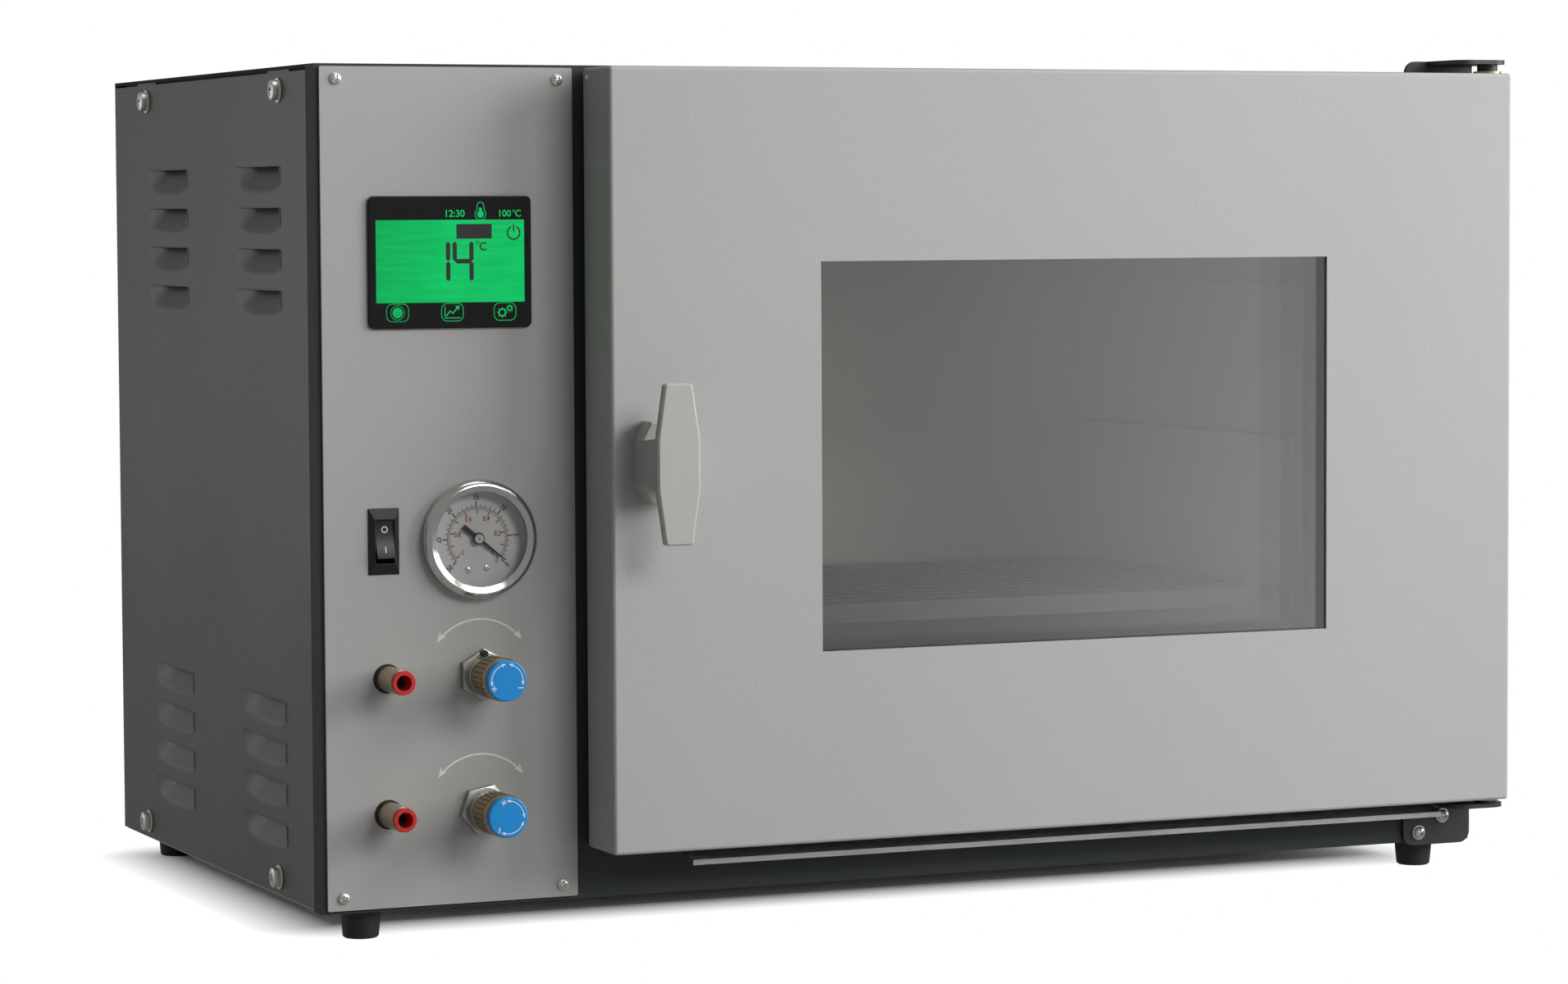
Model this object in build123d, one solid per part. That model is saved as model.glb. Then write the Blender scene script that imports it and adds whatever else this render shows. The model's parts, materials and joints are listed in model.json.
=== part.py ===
from build123d import *
import os
from math import cos, radians, sin

# Bench vacuum oven: a folded cabinet with a control facia on its left and, on its right, a hinged
# door with a window in front of a stainless vacuum chamber. Millimetres. +X is to the right of a
# person who faces the oven, +Y is towards its back and +Z is up. The origin is on the floor, under
# the middle of the box that holds the whole oven.

# ---------------------------------------------------------------- driving dimensions
# Cabinet
cabinet_depth = 403.0
controls_and_walls = 382.0
floor_and_roof = 163.5
cover_sheet = 1.5
top_sheet = 2.0
frame_sheet = 2.0
frame_return = 15.0
foot_height = 16.0
foot_top_radius = 11.5
foot_base_radius = 10.0
foot_inset_x = 27.5
foot_inset_front = 18.0
foot_inset_back = 20.0

# Control facia, whose devices are placed from its own lower left corner
facia_margin = 2.5
facia_width = 145.7
facia_margin_low = 1.95
facia_margin_high = 1.55
facia_sheet = 2.0
facia_land = 14.0
facia_screw_inset_x = 9.0
facia_screw_inset_z = 6.8

# Door
door_side_gap = 5.5
door_overhang = 0.7
door_bottom_gap = 29.1
door_top_gap = 1.6
door_rear_gap = 3.5
door_thickness = 39.5
door_sheet = 1.5
door_edge_radius = 2.0
inner_panel_sheet = 2.0
window_width = 323.0
window_height = 218.0
pane_thickness = 5.0
pane_lap = 9.0
retainer_sheet = 2.0
glass_thickness = 12.0
glass_lap = 22.0
glass_frame_wall = 4.0
glass_play = 1.0

# Vacuum chamber
cavity_width = 345.0
cavity_height = 300.0
cavity_depth = 300.0
cavity_corner = 20.0
chamber_wall = 4.0
flange_width = 40.0
flange_thickness = 4.0
flange_reveal = 26.0
gasket_width = 12.0
gasket_inset = 4.0
gasket_groove = 2.0
gasket_nose = 2.5
seal_gap = 0.3
heater_thickness = 3.0
heater_margin = 20.0
insulation_thickness = 45.0
support_width = 30.0
support_wall = 2.0
support_spread = 240.0
runner_levels = 3
runner_pitch = 91.6
runner_ledge = 10.0
runner_leg = 12.0
runner_sheet = 1.5
runner_end_gap = 12.0
shelf_sheet = 2.0
shelf_skirt = 9.0
shelf_side_play = 1.5
shelf_slot_width = 6.0
shelf_slot_length = 62.0
shelf_slot_columns = 4
shelf_slot_rows = 11

# Hinges
pivot_inset_x = 7.7
pivot_inset_y = 15.0
pin_radius = 4.0
running_gap = 0.05
end_gap = 0.1
bush_radius = 6.0
bush_length = 22.0
leaf_sheet = 2.5
leaf_nose_radius = 10.0
leaf_length_left = 25.0
leaf_gap_bottom = 2.8
leaf_gap_top = 5.5
plate_width = 46.0
plate_drop = 28.0
plate_corner = 7.0
plate_edge_inset = 0.5
washer_radius = 8.2
washer_thickness = 1.3
spacer_radius = 6.0

# Drip strip
strip_sheet = 1.2
strip_left_inset = 55.0
strip_right_gap = 1.3
strip_reach = 21.0
strip_fall = 4.6
strip_leg = 14.0
strip_lip = 1.8

# Handle and latch
handle_inset = 24.8
rosette_width = 24.0
rosette_height = 45.0
rosette_flat = 24.6
rosette_end_width = 13.0
rosette_thickness = 12.0
neck_length = 20.0
neck_height_base = 24.4
neck_height_blade = 28.4
blade_thickness = 5.0
blade_height = 88.0
blade_width = 24.8
blade_end_width = 16.0
blade_flat = 27.0
blade_bevel = 1.0
spindle_radius = 5.0
tenon_radius = 3.0
latch_bar_width = 8.0
latch_bar_length = 32.0
latch_bar_thickness = 6.0
latch_play = 0.5
keeper_sheet = 3.0
keeper_size = 56.0
slot_side_play = 3.0
slot_end_play = 2.5

# Louvres, pressed inwards with the slot at the top
louvre_length = 83.0
louvre_height = 14.0
louvre_depth = 5.5
louvre_end_slope = 16.0
louvre_floor_height = 4.0
louvre_pitch = 23.0
louvre_rows = 4
louvre_front_inset = 48.0
louvre_column_pitch = 183.0
louvre_top_inset = 53.0
louvre_bottom_inset = 40.5
tab_width = 40.0
tab_height = 1.2
cover_flange = 24.0
flange_stop = 20.0
rear_flange = 16.0
rear_flange_inset = 30.0

# Fasteners
cover_screw_head = 5.6
cover_screw_rise = 4.4
cover_screw_dome = 0.8
cover_washer_radius = 7.0
cover_washer = 1.0
cover_screw_shank = 2.5
cover_screw_length = 9.0
cover_screw_front = 64.1
cover_screw_pitch = 267.0
cover_screw_low_shift = 13.8
cover_screw_top_inset = 13.0
cover_screw_bottom_inset = 11.0
facia_screw_head = 3.3
facia_screw_rise = 2.0
facia_screw_dome = 1.1
facia_screw_shank = 1.6
bracket_screw_head = 3.5
bracket_screw_rise = 2.6
bracket_screw_dome = 1.4
bracket_washer_radius = 4.5
bracket_washer = 1.0
bracket_screw_shank = 2.0
bracket_screw_length = 8.0
bracket_screw_across = (0.776, 0.417)
bracket_screw_down = (0.725, 0.38)

# Display
display_x = 73.3
display_z = 353.6
display_width = 94.0
display_height = 72.3
display_rise = 2.5
display_corner = 3.5
screen_width = 86.0
screen_height = 45.1
screen_rise_from_centre = 0.5
screen_recess = 0.8
display_housing_depth = 14.0
display_housing_inset = 3.0
board_gap = 6.0
board_thickness = 1.6
board_margin_x = 4.0
board_margin_z = 6.0
board_post_radius = 2.5
board_blocks = (
    (-38.0, -6.0, -8.0, 20.0, 26.0),
    (8.0, 28.0, -4.0, 12.0, 16.0),
    (-30.0, 30.0, -38.0, -28.0, 9.0),
)

# Rocker switch
switch_x = 33.8
switch_z = 201.6
switch_width = 17.6
switch_height = 36.3
switch_rise = 3.2
switch_edge = 0.6
switch_mouth_width = 10.8
switch_mouth_height = 23.8
switch_body_width = 14.6
switch_body_height = 32.0
switch_body_depth = 22.0
rocker_play = 0.3
rocker_half_height = 10.4
rocker_reach = 7.3
rocker_hollow = 1.6
rocker_tilt = 10.5
rocker_pivot_depth = 3.0
trunnion_radius = 1.5

# Vacuum gauge
gauge_x = 88.3
gauge_z = 201.5
bezel_radius = 32.8
bezel_rise = 8.5
bezel_lip_radius = 26.5
gauge_case_radius = 29.5
gauge_case_depth = 26.0
gauge_case_wall = 1.2
dial_thickness = 0.8
dial_depth = 0.5
lens_thickness = 1.5
lens_depth = -6.6
needle_gap = 1.4
needle_thickness = 0.6
needle_length = 20.0
needle_tail = 11.0
needle_hub_radius = 3.3
needle_shaft_radius = 1.0
needle_rest_angle = -38.0
stop_pin_angle = -43.5
stop_pin_reach = 16.7
stop_pin_radius = 0.8
stop_pin_rise = 2.4
gauge_stem_radius = 7.0

# Valves and tube ports
valve_x = 90.3
inlet_valve_z = 126.3
pump_valve_z = 51.6
nut_across_flats = 25.0
nut_thickness = 5.0
valve_bush_radius = 8.0
valve_body_radius = 11.0
valve_body_depth = 30.0
gland_radius = 10.2
gland_length = 5.0
knob_radius = 11.9
collar_radius = 10.0
collar_length = 5.0
knob_gap = 0.3
knob_length = 20.6
knob_facets = 28
cap_radius = 11.3
cap_thickness = 4.5
stem_radius = 3.0
inlet_nut_turn = 30.0
pump_nut_turn = 10.0
port_x = 35.7
port_hole_radius = 7.9
port_body_radius = 7.0
port_reach = 24.5
port_depth = 30.0
port_flange = 4.0
port_flange_radius = 10.0
tube_radius = 4.0
tube_play = 0.1
tube_seat_length = 14.0
collet_radius = 6.6
collet_flange = 1.6
collet_sleeve_radius = 5.4
collet_bore_play = 0.3
collet_sleeve_length = 8.0
collet_travel = 1.2

# Vacuum lines, sensors and electrics
line_radius = 5.0
line_play = 0.5
manifold_width = 20.0
manifold_depth = 16.0
manifold_gap = 28.0
line_z = 160.0
probe_radius = 2.5
probe_reach = 9.0
probe_z = 300.0
probe_inset_y = 45.0
probe_gland_radius = 6.0
bulkhead_gap = 12.5
relay_inset_y = 150.0
relay_inset_z = 150.0
relay_width = 58.0
relay_height = 45.0
relay_depth = 24.0
heatsink_height = 90.0
heatsink_length = 110.0
heatsink_base = 5.0
heatsink_fin = 18.0
heatsink_fins = 9
gland_bore_radius = 3.8
gland_hex = 19.0
gland_x = 60.0
gland_z = 70.0

# ---------------------------------------------------------------- places worked out from them
cabinet_width = cavity_width + controls_and_walls
cabinet_height = cavity_height + floor_and_roof
facia_height = cabinet_height - facia_margin_low - facia_margin_high
handle_reach = rosette_thickness + end_gap + neck_length + blade_thickness
front_reach = handle_reach + door_thickness + door_rear_gap
rear_proud = cover_screw_rise + cover_washer
overall_depth = front_reach + facia_sheet + cabinet_depth + rear_proud

facia_front = front_reach - overall_depth / 2
frame_front = facia_front + facia_sheet
frame_back = frame_front + frame_return
plate_back = frame_front + frame_sheet
cabinet_back = frame_front + cabinet_depth
cabinet_left = -cabinet_width / 2
cabinet_right = cabinet_width / 2
cabinet_bottom = foot_height
cabinet_top = foot_height + cabinet_height
inside_top = cabinet_top - top_sheet
inside_back = cabinet_back - cover_sheet
facia_left = cabinet_left + facia_margin
facia_bottom = cabinet_bottom + facia_margin_low

door_left = facia_left + facia_width + door_side_gap
door_right = cabinet_right + door_overhang
door_bottom = cabinet_bottom + door_bottom_gap
door_top = cabinet_top - door_top_gap
door_rear = facia_front - door_rear_gap
door_front = door_rear - door_thickness
door_x = (door_left + door_right) / 2
door_z = (door_bottom + door_top) / 2

cavity_front = plate_back
cavity_back = cavity_front + cavity_depth
chamber_back = cavity_back + chamber_wall
flange_back = plate_back + flange_thickness
chamber_left = door_x - cavity_width / 2 - chamber_wall
jacket_width = cavity_width + 2 * (chamber_wall + heater_thickness + insulation_thickness)
jacket_height = cavity_height + 2 * (chamber_wall + heater_thickness + insulation_thickness)
jacket_left = door_x - jacket_width / 2
jacket_bottom = door_z - jacket_height / 2
jacket_back = chamber_back + insulation_thickness
bulkhead_x = jacket_left - bulkhead_gap - cover_sheet

pivot_x = door_right - pivot_inset_x
pivot_y = door_front + pivot_inset_y
leaf_bottom_z = door_bottom - leaf_gap_bottom
leaf_top_z = door_top + leaf_gap_top

handle_x = door_left + handle_inset
handle_z = door_z
rosette_front = door_front - rosette_thickness
neck_back = rosette_front - end_gap
neck_front = neck_back - neck_length
blade_front = neck_front - blade_thickness
keeper_back = plate_back + keeper_sheet
latch_front = keeper_back + latch_play
latch_back = latch_front + latch_bar_thickness

lower_runner_z = door_z - (runner_levels - 1) / 2 * runner_pitch
shelf_z = lower_runner_z + runner_sheet


# ---------------------------------------------------------------- shared shapes
def block(x0, x1, y0, y1, z0, z1):
    """Block between two corners."""
    return Pos((x0 + x1) / 2, (y0 + y1) / 2, (z0 + z1) / 2) * Box(x1 - x0, y1 - y0, z1 - z0)


def slab(outline, y_front, y_back):
    """Outline drawn in X and Z, made solid between two depths."""
    plane = Plane(origin=(0, y_back, 0), x_dir=(1, 0, 0), z_dir=(0, -1, 0))
    return extrude(plane * outline, y_back - y_front, dir=(0, -1, 0))


def bar_x(outline, x0, x1):
    """Outline drawn in Y and Z, made solid between two places along X."""
    plane = Plane(origin=(x0, 0, 0), x_dir=(0, 1, 0), z_dir=(1, 0, 0))
    return extrude(plane * outline, x1 - x0, dir=(1, 0, 0))


def rod_y(x, z, radius, y_front, y_back):
    """Round bar along Y."""
    return slab(Pos(x, z) * Circle(radius), y_front, y_back)


def rod_x(y, z, radius, x0, x1):
    """Round bar along X."""
    return bar_x(Pos(y, z) * Circle(radius), x0, x1)


def rod_z(x, y, radius, z0, z1):
    """Round bar along Z."""
    return Pos(x, y, z0) * extrude(Circle(radius), z1 - z0)


def turned_y(x, z, points):
    """Solid turned about a Y axis from (radius, y) points."""
    profile = make_face(Polyline(*points, close=True))
    return Pos(x, 0, z) * revolve(profile, Axis.Y)


def rounded(x, z, width, height, radius):
    """Rounded rectangle outline centred at x and z."""
    return Pos(x, z) * RectangleRounded(width, height, radius)


def framed(x, z, width, height):
    """Plain rectangle outline centred at x and z."""
    return Pos(x, z) * Rectangle(width, height)


def outline_of(*lines):
    """Face inside a closed run of lines and arcs."""
    return make_face(Curve() + list(lines))


def pan_head(radius, rise, dome, shank_radius, length, washer_radius=0.0, washer=0.0):
    """Pan head screw that stands on z = 0 and points down, with its washer as a second solid."""
    top = washer + rise
    curve = (radius ** 2 + dome ** 2) / (2 * dome)
    middle = (radius / 2, top - curve + (curve ** 2 - radius ** 2 / 4) ** 0.5)
    profile = outline_of(
        Polyline((0, top), (0, -length), (shank_radius, -length), (shank_radius, washer), (radius, washer),
                 (radius, top - dome)),
        ThreePointArc((radius, top - dome), middle, (0, top)),
    )
    solids = [revolve(Plane.XZ * profile, Axis.Z)]
    if washer:
        ring = Circle(washer_radius) - Circle(shank_radius)
        solids.append(extrude(ring, washer))
    return solids


def flat_head(radius, shank_radius, length):
    """Countersunk screw with its head flush at z = 0, pointing down."""
    profile = make_face(Polyline((0, 0), (radius, 0), (shank_radius, shank_radius - radius),
                                 (shank_radius, -length), (0, -length), close=True))
    return [revolve(Plane.XZ * profile, Axis.Z)]


def place_all(solids, place):
    """The same solids at one place."""
    return [place * solid for solid in solids]


TO_FRONT = Rot(90, 0, 0)
TO_BACK = Rot(-90, 0, 0)
TO_LEFT = Rot(0, -90, 0)
TO_RIGHT = Rot(0, 90, 0)


def group(solids):
    """Separate solids kept together in one node."""
    return Compound(children=[part for solid in solids for part in solid.solids()])


nodes = {}

# ---------------------------------------------------------------- cabinet sheet metal
first_screw_y = frame_back - frame_return + cover_screw_front
top_screw_ys = [first_screw_y + step * cover_screw_pitch for step in (0, 1)]
low_screw_ys = [y + cover_screw_low_shift for y in top_screw_ys]
top_screw_z = cabinet_top - cover_screw_top_inset
low_screw_z = cabinet_bottom + cover_screw_bottom_inset
side_screw_points = [(y, low_screw_z) for y in low_screw_ys] + [(y, top_screw_z) for y in top_screw_ys]
rear_screw_points = [
    (side * (cabinet_width / 2 - cover_sheet - rear_flange / 2), z)
    for side in (-1, 1)
    for z in (cabinet_bottom + 45, (cabinet_bottom + cabinet_top) / 2, cabinet_top - 45)
]
facia_screw_points = [
    (facia_left + across, facia_bottom + up)
    for across in (facia_screw_inset_x, facia_width - facia_screw_inset_x)
    for up in (facia_screw_inset_z, facia_height - facia_screw_inset_z)
]
slot_width = latch_bar_width + 2 * slot_side_play
slot_height = latch_bar_length + 2 * slot_end_play
mouth_width = cavity_width + 2 * flange_reveal
mouth_height = cavity_height + 2 * flange_reveal


def front_frame():
    """Folded front frame with the mouth, the facia opening and the latch slot."""
    shell = block(cabinet_left, cabinet_right, frame_front, frame_back, cabinet_bottom, cabinet_top)
    shell -= block(cabinet_left + frame_sheet, cabinet_right - frame_sheet, plate_back, frame_back,
                   cabinet_bottom + frame_sheet, cabinet_top - frame_sheet)
    opening_width = facia_width - 2 * facia_land
    opening_height = facia_height - 2 * facia_land
    shell -= slab(framed(facia_left + facia_width / 2, facia_bottom + facia_height / 2,
                         opening_width, opening_height), frame_front, plate_back)
    shell -= slab(rounded(door_x, door_z, mouth_width, mouth_height, cavity_corner), frame_front, plate_back)
    shell -= slab(framed(handle_x, handle_z, slot_width, slot_height), frame_front, plate_back)
    for x, z in facia_screw_points:
        shell -= rod_y(x, z, facia_screw_shank, frame_front, plate_back)
    for plate_top in (leaf_bottom_z, leaf_top_z + leaf_sheet):
        for x, z in bracket_screw_points(plate_top):
            shell -= rod_y(x, z, bracket_screw_shank, frame_front, plate_back)
    return shell


def bracket_screw_points(plate_top):
    """Centres of the two screws of the hinge bracket whose plate ends at plate_top."""
    right = cabinet_right - plate_edge_inset
    return [(right - across * plate_width, plate_top - down * plate_drop)
            for across, down in zip(bracket_screw_across, bracket_screw_down)]


def louvre_tool(thickness):
    """Pressed form of one louvre as (solid to add, solid to cut) for a face at x = 0, inwards along +X."""
    half = louvre_length / 2

    def tapered(grow):
        base = Plane(origin=(0, 0, 0), x_dir=(0, 1, 0), z_dir=(1, 0, 0)) * (
            Pos(0, -(louvre_height + grow) / 2) * Rectangle(2 * half + 2 * grow, louvre_height + grow))
        floor_height = louvre_floor_height + grow
        floor = Plane(origin=(louvre_depth + grow, 0, 0), x_dir=(0, 1, 0), z_dir=(1, 0, 0)) * (
            Pos(0, -floor_height / 2) * Rectangle(2 * (half - louvre_end_slope) + 2 * grow, floor_height))
        return loft([base.face(), floor.face()])

    return tapered(thickness), tapered(0.0)


def louvre_places(y_first, z_low, z_high):
    """Top centre (y, z) of each louvre on a side cover."""
    places = []
    for column in range(2):
        y = y_first + louvre_length / 2 + column * louvre_column_pitch
        for row in range(louvre_rows):
            places.append((y, z_high - louvre_top_inset - row * louvre_pitch))
            places.append((y, z_low + louvre_bottom_inset + row * louvre_pitch))
    return places


def left_side_cover():
    """Side cover with its louvres, screw holes, the tabs at its top edge and a flange at its rear edge."""
    bottom = cabinet_bottom + 1.0
    low_edge = inside_top - tab_height
    cover = block(cabinet_left, cabinet_left + cover_sheet, frame_back, inside_back, bottom, low_edge)
    for y in top_screw_ys:
        cover += block(cabinet_left, cabinet_left + cover_sheet, y - tab_width / 2, y + tab_width / 2,
                       low_edge, inside_top)
    add, cut = louvre_tool(cover_sheet)
    for y, z in louvre_places(frame_front + louvre_front_inset + frame_return, bottom, inside_top):
        cover = cover + Pos(cabinet_left, y, z) * add - Pos(cabinet_left, y, z) * cut
    for y, z in side_screw_points:
        cover -= rod_x(y, z, cover_screw_shank, cabinet_left, cabinet_left + cover_sheet)
    cover += block(cabinet_left, cabinet_left + cover_sheet + rear_flange,
                   inside_back - cover_sheet, inside_back,
                   cabinet_bottom + rear_flange_inset, inside_top - rear_flange_inset)
    for x, z in rear_screw_points:
        cover -= rod_y(x, z, cover_screw_shank, inside_back - cover_sheet, inside_back)
    return cover


cord_x = facia_left + gland_x
cord_z = cabinet_bottom + gland_z


def rear_cover():
    """Rear cover with a group of louvres behind the control space and the cord's hole."""
    cover = block(cabinet_left, cabinet_right, inside_back, cabinet_back, cabinet_bottom + 1.0, inside_top)
    add, cut = louvre_tool(cover_sheet)
    turn = Rot(0, 0, -90)
    for row in range(louvre_rows):
        slot_z = inside_top - louvre_top_inset - row * louvre_pitch
        place = Pos(facia_left + facia_width / 2, cabinet_back, slot_z)
        cover = cover + place * turn * add - place * turn * cut
    cover -= rod_y(cord_x, cord_z, gland_bore_radius + 4, inside_back, cabinet_back)
    for x, z in rear_screw_points:
        cover -= rod_y(x, z, cover_screw_shank, inside_back, cabinet_back)
    return cover


def base_tray():
    """Floor of the cabinet with upturned sides behind the side covers."""
    inner_left = cabinet_left + cover_sheet
    tray = block(inner_left, -inner_left, frame_back, inside_back,
                 cabinet_bottom, cabinet_bottom + cover_sheet)
    for side in (-1, 1):
        edge = side * -inner_left
        tray += block(min(edge, edge - side * cover_sheet), max(edge, edge - side * cover_sheet),
                      frame_back, inside_back - flange_stop, cabinet_bottom, cabinet_bottom + cover_flange)
        for y in low_screw_ys:
            tray -= rod_x(y, low_screw_z, cover_screw_shank, edge - 2 * cover_sheet, edge + 2 * cover_sheet)
    return tray


def top_cover():
    """Top cover with flanges behind the side covers, which the upper side screws go into."""
    cover = block(cabinet_left, cabinet_right, frame_back, cabinet_back, inside_top, cabinet_top)
    for side in (-1, 1):
        edge = side * (cabinet_width / 2 - cover_sheet)
        cover += block(min(edge, edge - side * cover_sheet), max(edge, edge - side * cover_sheet),
                       frame_back, inside_back - flange_stop, inside_top - cover_flange, inside_top)
        for y in top_screw_ys:
            cover -= rod_x(y, top_screw_z, cover_screw_shank, edge - 2 * cover_sheet, edge + 2 * cover_sheet)
    return cover


def foot_points():
    """Centres of the four feet."""
    front = frame_front + foot_inset_front
    back = cabinet_back - foot_inset_back
    across = cabinet_width / 2 - foot_inset_x
    return [(side * across, y) for side in (-1, 1) for y in (front, back)]


def feet():
    """Four tapered rubber feet."""
    chamfered = 1.0
    profile = make_face(Polyline((0, 0), (foot_base_radius - chamfered, 0), (foot_base_radius, chamfered),
                                 (foot_top_radius, foot_height), (0, foot_height), close=True))
    foot = revolve(Plane.XZ * profile, Axis.Z)
    return group([Pos(x, y, 0) * foot for x, y in foot_points()])


def chamber_supports():
    """Two square rails that carry the insulated chamber on the base tray."""
    low = cabinet_bottom + cover_sheet
    rails = []
    for side in (-1, 1):
        x = door_x + side * support_spread / 2
        rail = block(x - support_width / 2, x + support_width / 2, frame_back + 10, jacket_back,
                     low, jacket_bottom)
        rail -= block(x - support_width / 2 + support_wall, x + support_width / 2 - support_wall,
                      frame_back + 10, jacket_back, low + support_wall, jacket_bottom - support_wall)
        rails.append(rail)
    return group(rails)


def bulkhead():
    """Upright plate between the control space and the chamber, with holes for the lines."""
    plate = block(bulkhead_x, bulkhead_x + cover_sheet, frame_back, inside_back,
                  cabinet_bottom + cover_sheet, inside_top)
    plate -= rod_x(line_y, line_height, line_radius, bulkhead_x, bulkhead_x + cover_sheet)
    plate -= rod_x(probe_y, probe_height, probe_radius, bulkhead_x, bulkhead_x + cover_sheet)
    return plate


line_y = frame_front + manifold_gap + valve_body_depth + manifold_depth / 2
line_height = facia_bottom + line_z
probe_y = cavity_back - probe_inset_y
probe_height = facia_bottom + probe_z

nodes["front_frame"] = front_frame()
nodes["left_side_cover"] = left_side_cover()
nodes["right_side_cover"] = mirror(nodes["left_side_cover"], Plane.YZ)
nodes["rear_cover"] = rear_cover()
nodes["top_cover"] = top_cover()
nodes["base_tray"] = base_tray()
nodes["feet"] = feet()
nodes["chamber_supports"] = chamber_supports()
nodes["bulkhead"] = bulkhead()

cover_screw = pan_head(cover_screw_head, cover_screw_rise, cover_screw_dome, cover_screw_shank,
                       cover_screw_length, cover_washer_radius, cover_washer)
cover_screws = []
for screw_y, screw_z in side_screw_points:
    cover_screws += place_all(cover_screw, Pos(cabinet_left, screw_y, screw_z) * TO_LEFT)
    cover_screws += place_all(cover_screw, Pos(cabinet_right, screw_y, screw_z) * TO_RIGHT)
for screw_x, screw_z in rear_screw_points:
    cover_screws += place_all(cover_screw, Pos(screw_x, cabinet_back, screw_z) * TO_BACK)
nodes["cover_screws"] = group(cover_screws)


def cord_gland():
    """Cable gland in the rear cover: a hexagon and a domed nut outside, a lock nut inside."""
    outer_back = cabinet_back + rear_proud
    outline = Pos(cord_x, cord_z) * RegularPolygon(gland_hex / 2, 6, major_radius=False)
    hexagon = slab(outline, cabinet_back, outer_back)
    neck = rod_y(cord_x, cord_z, gland_bore_radius + 4, inside_back - 12, cabinet_back)
    lock_nut = slab(outline, inside_back - 5, inside_back)
    bore = rod_y(cord_x, cord_z, gland_bore_radius, inside_back - 12, outer_back)
    return hexagon + neck + lock_nut - bore


nodes["cord_gland"] = cord_gland()


# ---------------------------------------------------------------- vacuum chamber and what it holds
def vacuum_chamber():
    """Welded chamber with rounded corners, a front flange and a groove for the gasket."""
    outer = rounded(door_x, door_z, cavity_width + 2 * chamber_wall, cavity_height + 2 * chamber_wall,
                    cavity_corner + chamber_wall)
    inner = rounded(door_x, door_z, cavity_width, cavity_height, cavity_corner)
    flange = rounded(door_x, door_z, cavity_width + 2 * flange_width, cavity_height + 2 * flange_width,
                     cavity_corner)
    chamber = slab(outer, plate_back, chamber_back) + slab(flange, plate_back, flange_back)
    chamber -= slab(inner, plate_back, cavity_back)
    chamber -= gasket_ring(plate_back, plate_back + gasket_groove)
    chamber -= rod_x(line_y, line_height, line_radius - 1, chamber_left, chamber_left + chamber_wall)
    chamber -= rod_x(probe_y, probe_height, probe_radius, chamber_left, chamber_left + chamber_wall)
    return chamber


def gasket_ring(y_front, y_back):
    """Ring that follows the mouth of the chamber."""
    inner_width = cavity_width + 2 * gasket_inset
    inner_height = cavity_height + 2 * gasket_inset
    inner_corner = cavity_corner + gasket_inset
    ring = rounded(door_x, door_z, inner_width + 2 * gasket_width, inner_height + 2 * gasket_width,
                   inner_corner + gasket_width)
    ring -= rounded(door_x, door_z, inner_width, inner_height, inner_corner)
    return slab(ring, y_front, y_back)


def door_gasket():
    """Silicone gasket that fills the groove and stands out to the glass with a rounded nose."""
    gasket = gasket_ring(door_rear + seal_gap, plate_back + gasket_groove)
    nose = gasket.faces().sort_by(Axis.Y)[0]
    return fillet(nose.edges(), gasket_nose)


def heater_mats():
    """Heater mats on the four flat walls of the chamber."""
    half_width = cavity_width / 2 + chamber_wall
    half_height = cavity_height / 2 + chamber_wall
    near = flange_back + heater_margin
    far = chamber_back - heater_margin
    flat_x = cavity_width / 2 - cavity_corner
    flat_z = cavity_height / 2 - cavity_corner
    mats = []
    for side in (-1, 1):
        wall = door_x + side * half_width
        outside = wall + side * heater_thickness
        mats.append(block(min(wall, outside), max(wall, outside), near, far,
                          door_z - flat_z, door_z + flat_z))
        wall = door_z + side * half_height
        outside = wall + side * heater_thickness
        mats.append(block(door_x - flat_x, door_x + flat_x, near, far,
                          min(wall, outside), max(wall, outside)))
    mat_left = chamber_left - heater_thickness
    mats[0] -= rod_x(line_y, line_height, line_radius + line_play, mat_left, chamber_left)
    mats[0] -= rod_x(probe_y, probe_height, probe_gland_radius + line_play, mat_left, chamber_left)
    return group(mats)


def insulation_jacket():
    """Mineral wool around the chamber's four sides and back."""
    jacket = block(jacket_left, jacket_left + jacket_width, flange_back, jacket_back,
                   jacket_bottom, jacket_bottom + jacket_height)
    hollow_x = cavity_width / 2 + chamber_wall + heater_thickness
    hollow_z = cavity_height / 2 + chamber_wall + heater_thickness
    jacket -= block(door_x - hollow_x, door_x + hollow_x, flange_back, chamber_back,
                    door_z - hollow_z, door_z + hollow_z)
    jacket -= rod_x(line_y, line_height, line_radius + line_play, jacket_left, chamber_left)
    jacket -= rod_x(probe_y, probe_height, probe_gland_radius + line_play, jacket_left, chamber_left)
    return jacket


def shelf_runners():
    """Angle runners on both side walls of the chamber."""
    runners = []
    for side in (-1, 1):
        wall = door_x + side * cavity_width / 2
        for level in range(runner_levels):
            z = lower_runner_z + level * runner_pitch
            ledge_edge = wall - side * runner_ledge
            leg_edge = wall - side * runner_sheet
            near = cavity_front + runner_end_gap
            far = cavity_back - runner_end_gap
            runner = block(min(wall, ledge_edge), max(wall, ledge_edge), near, far, z, z + runner_sheet)
            runner += block(min(wall, leg_edge), max(wall, leg_edge), near, far, z - runner_leg, z)
            runners.append(runner)
    return group(runners)


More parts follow.
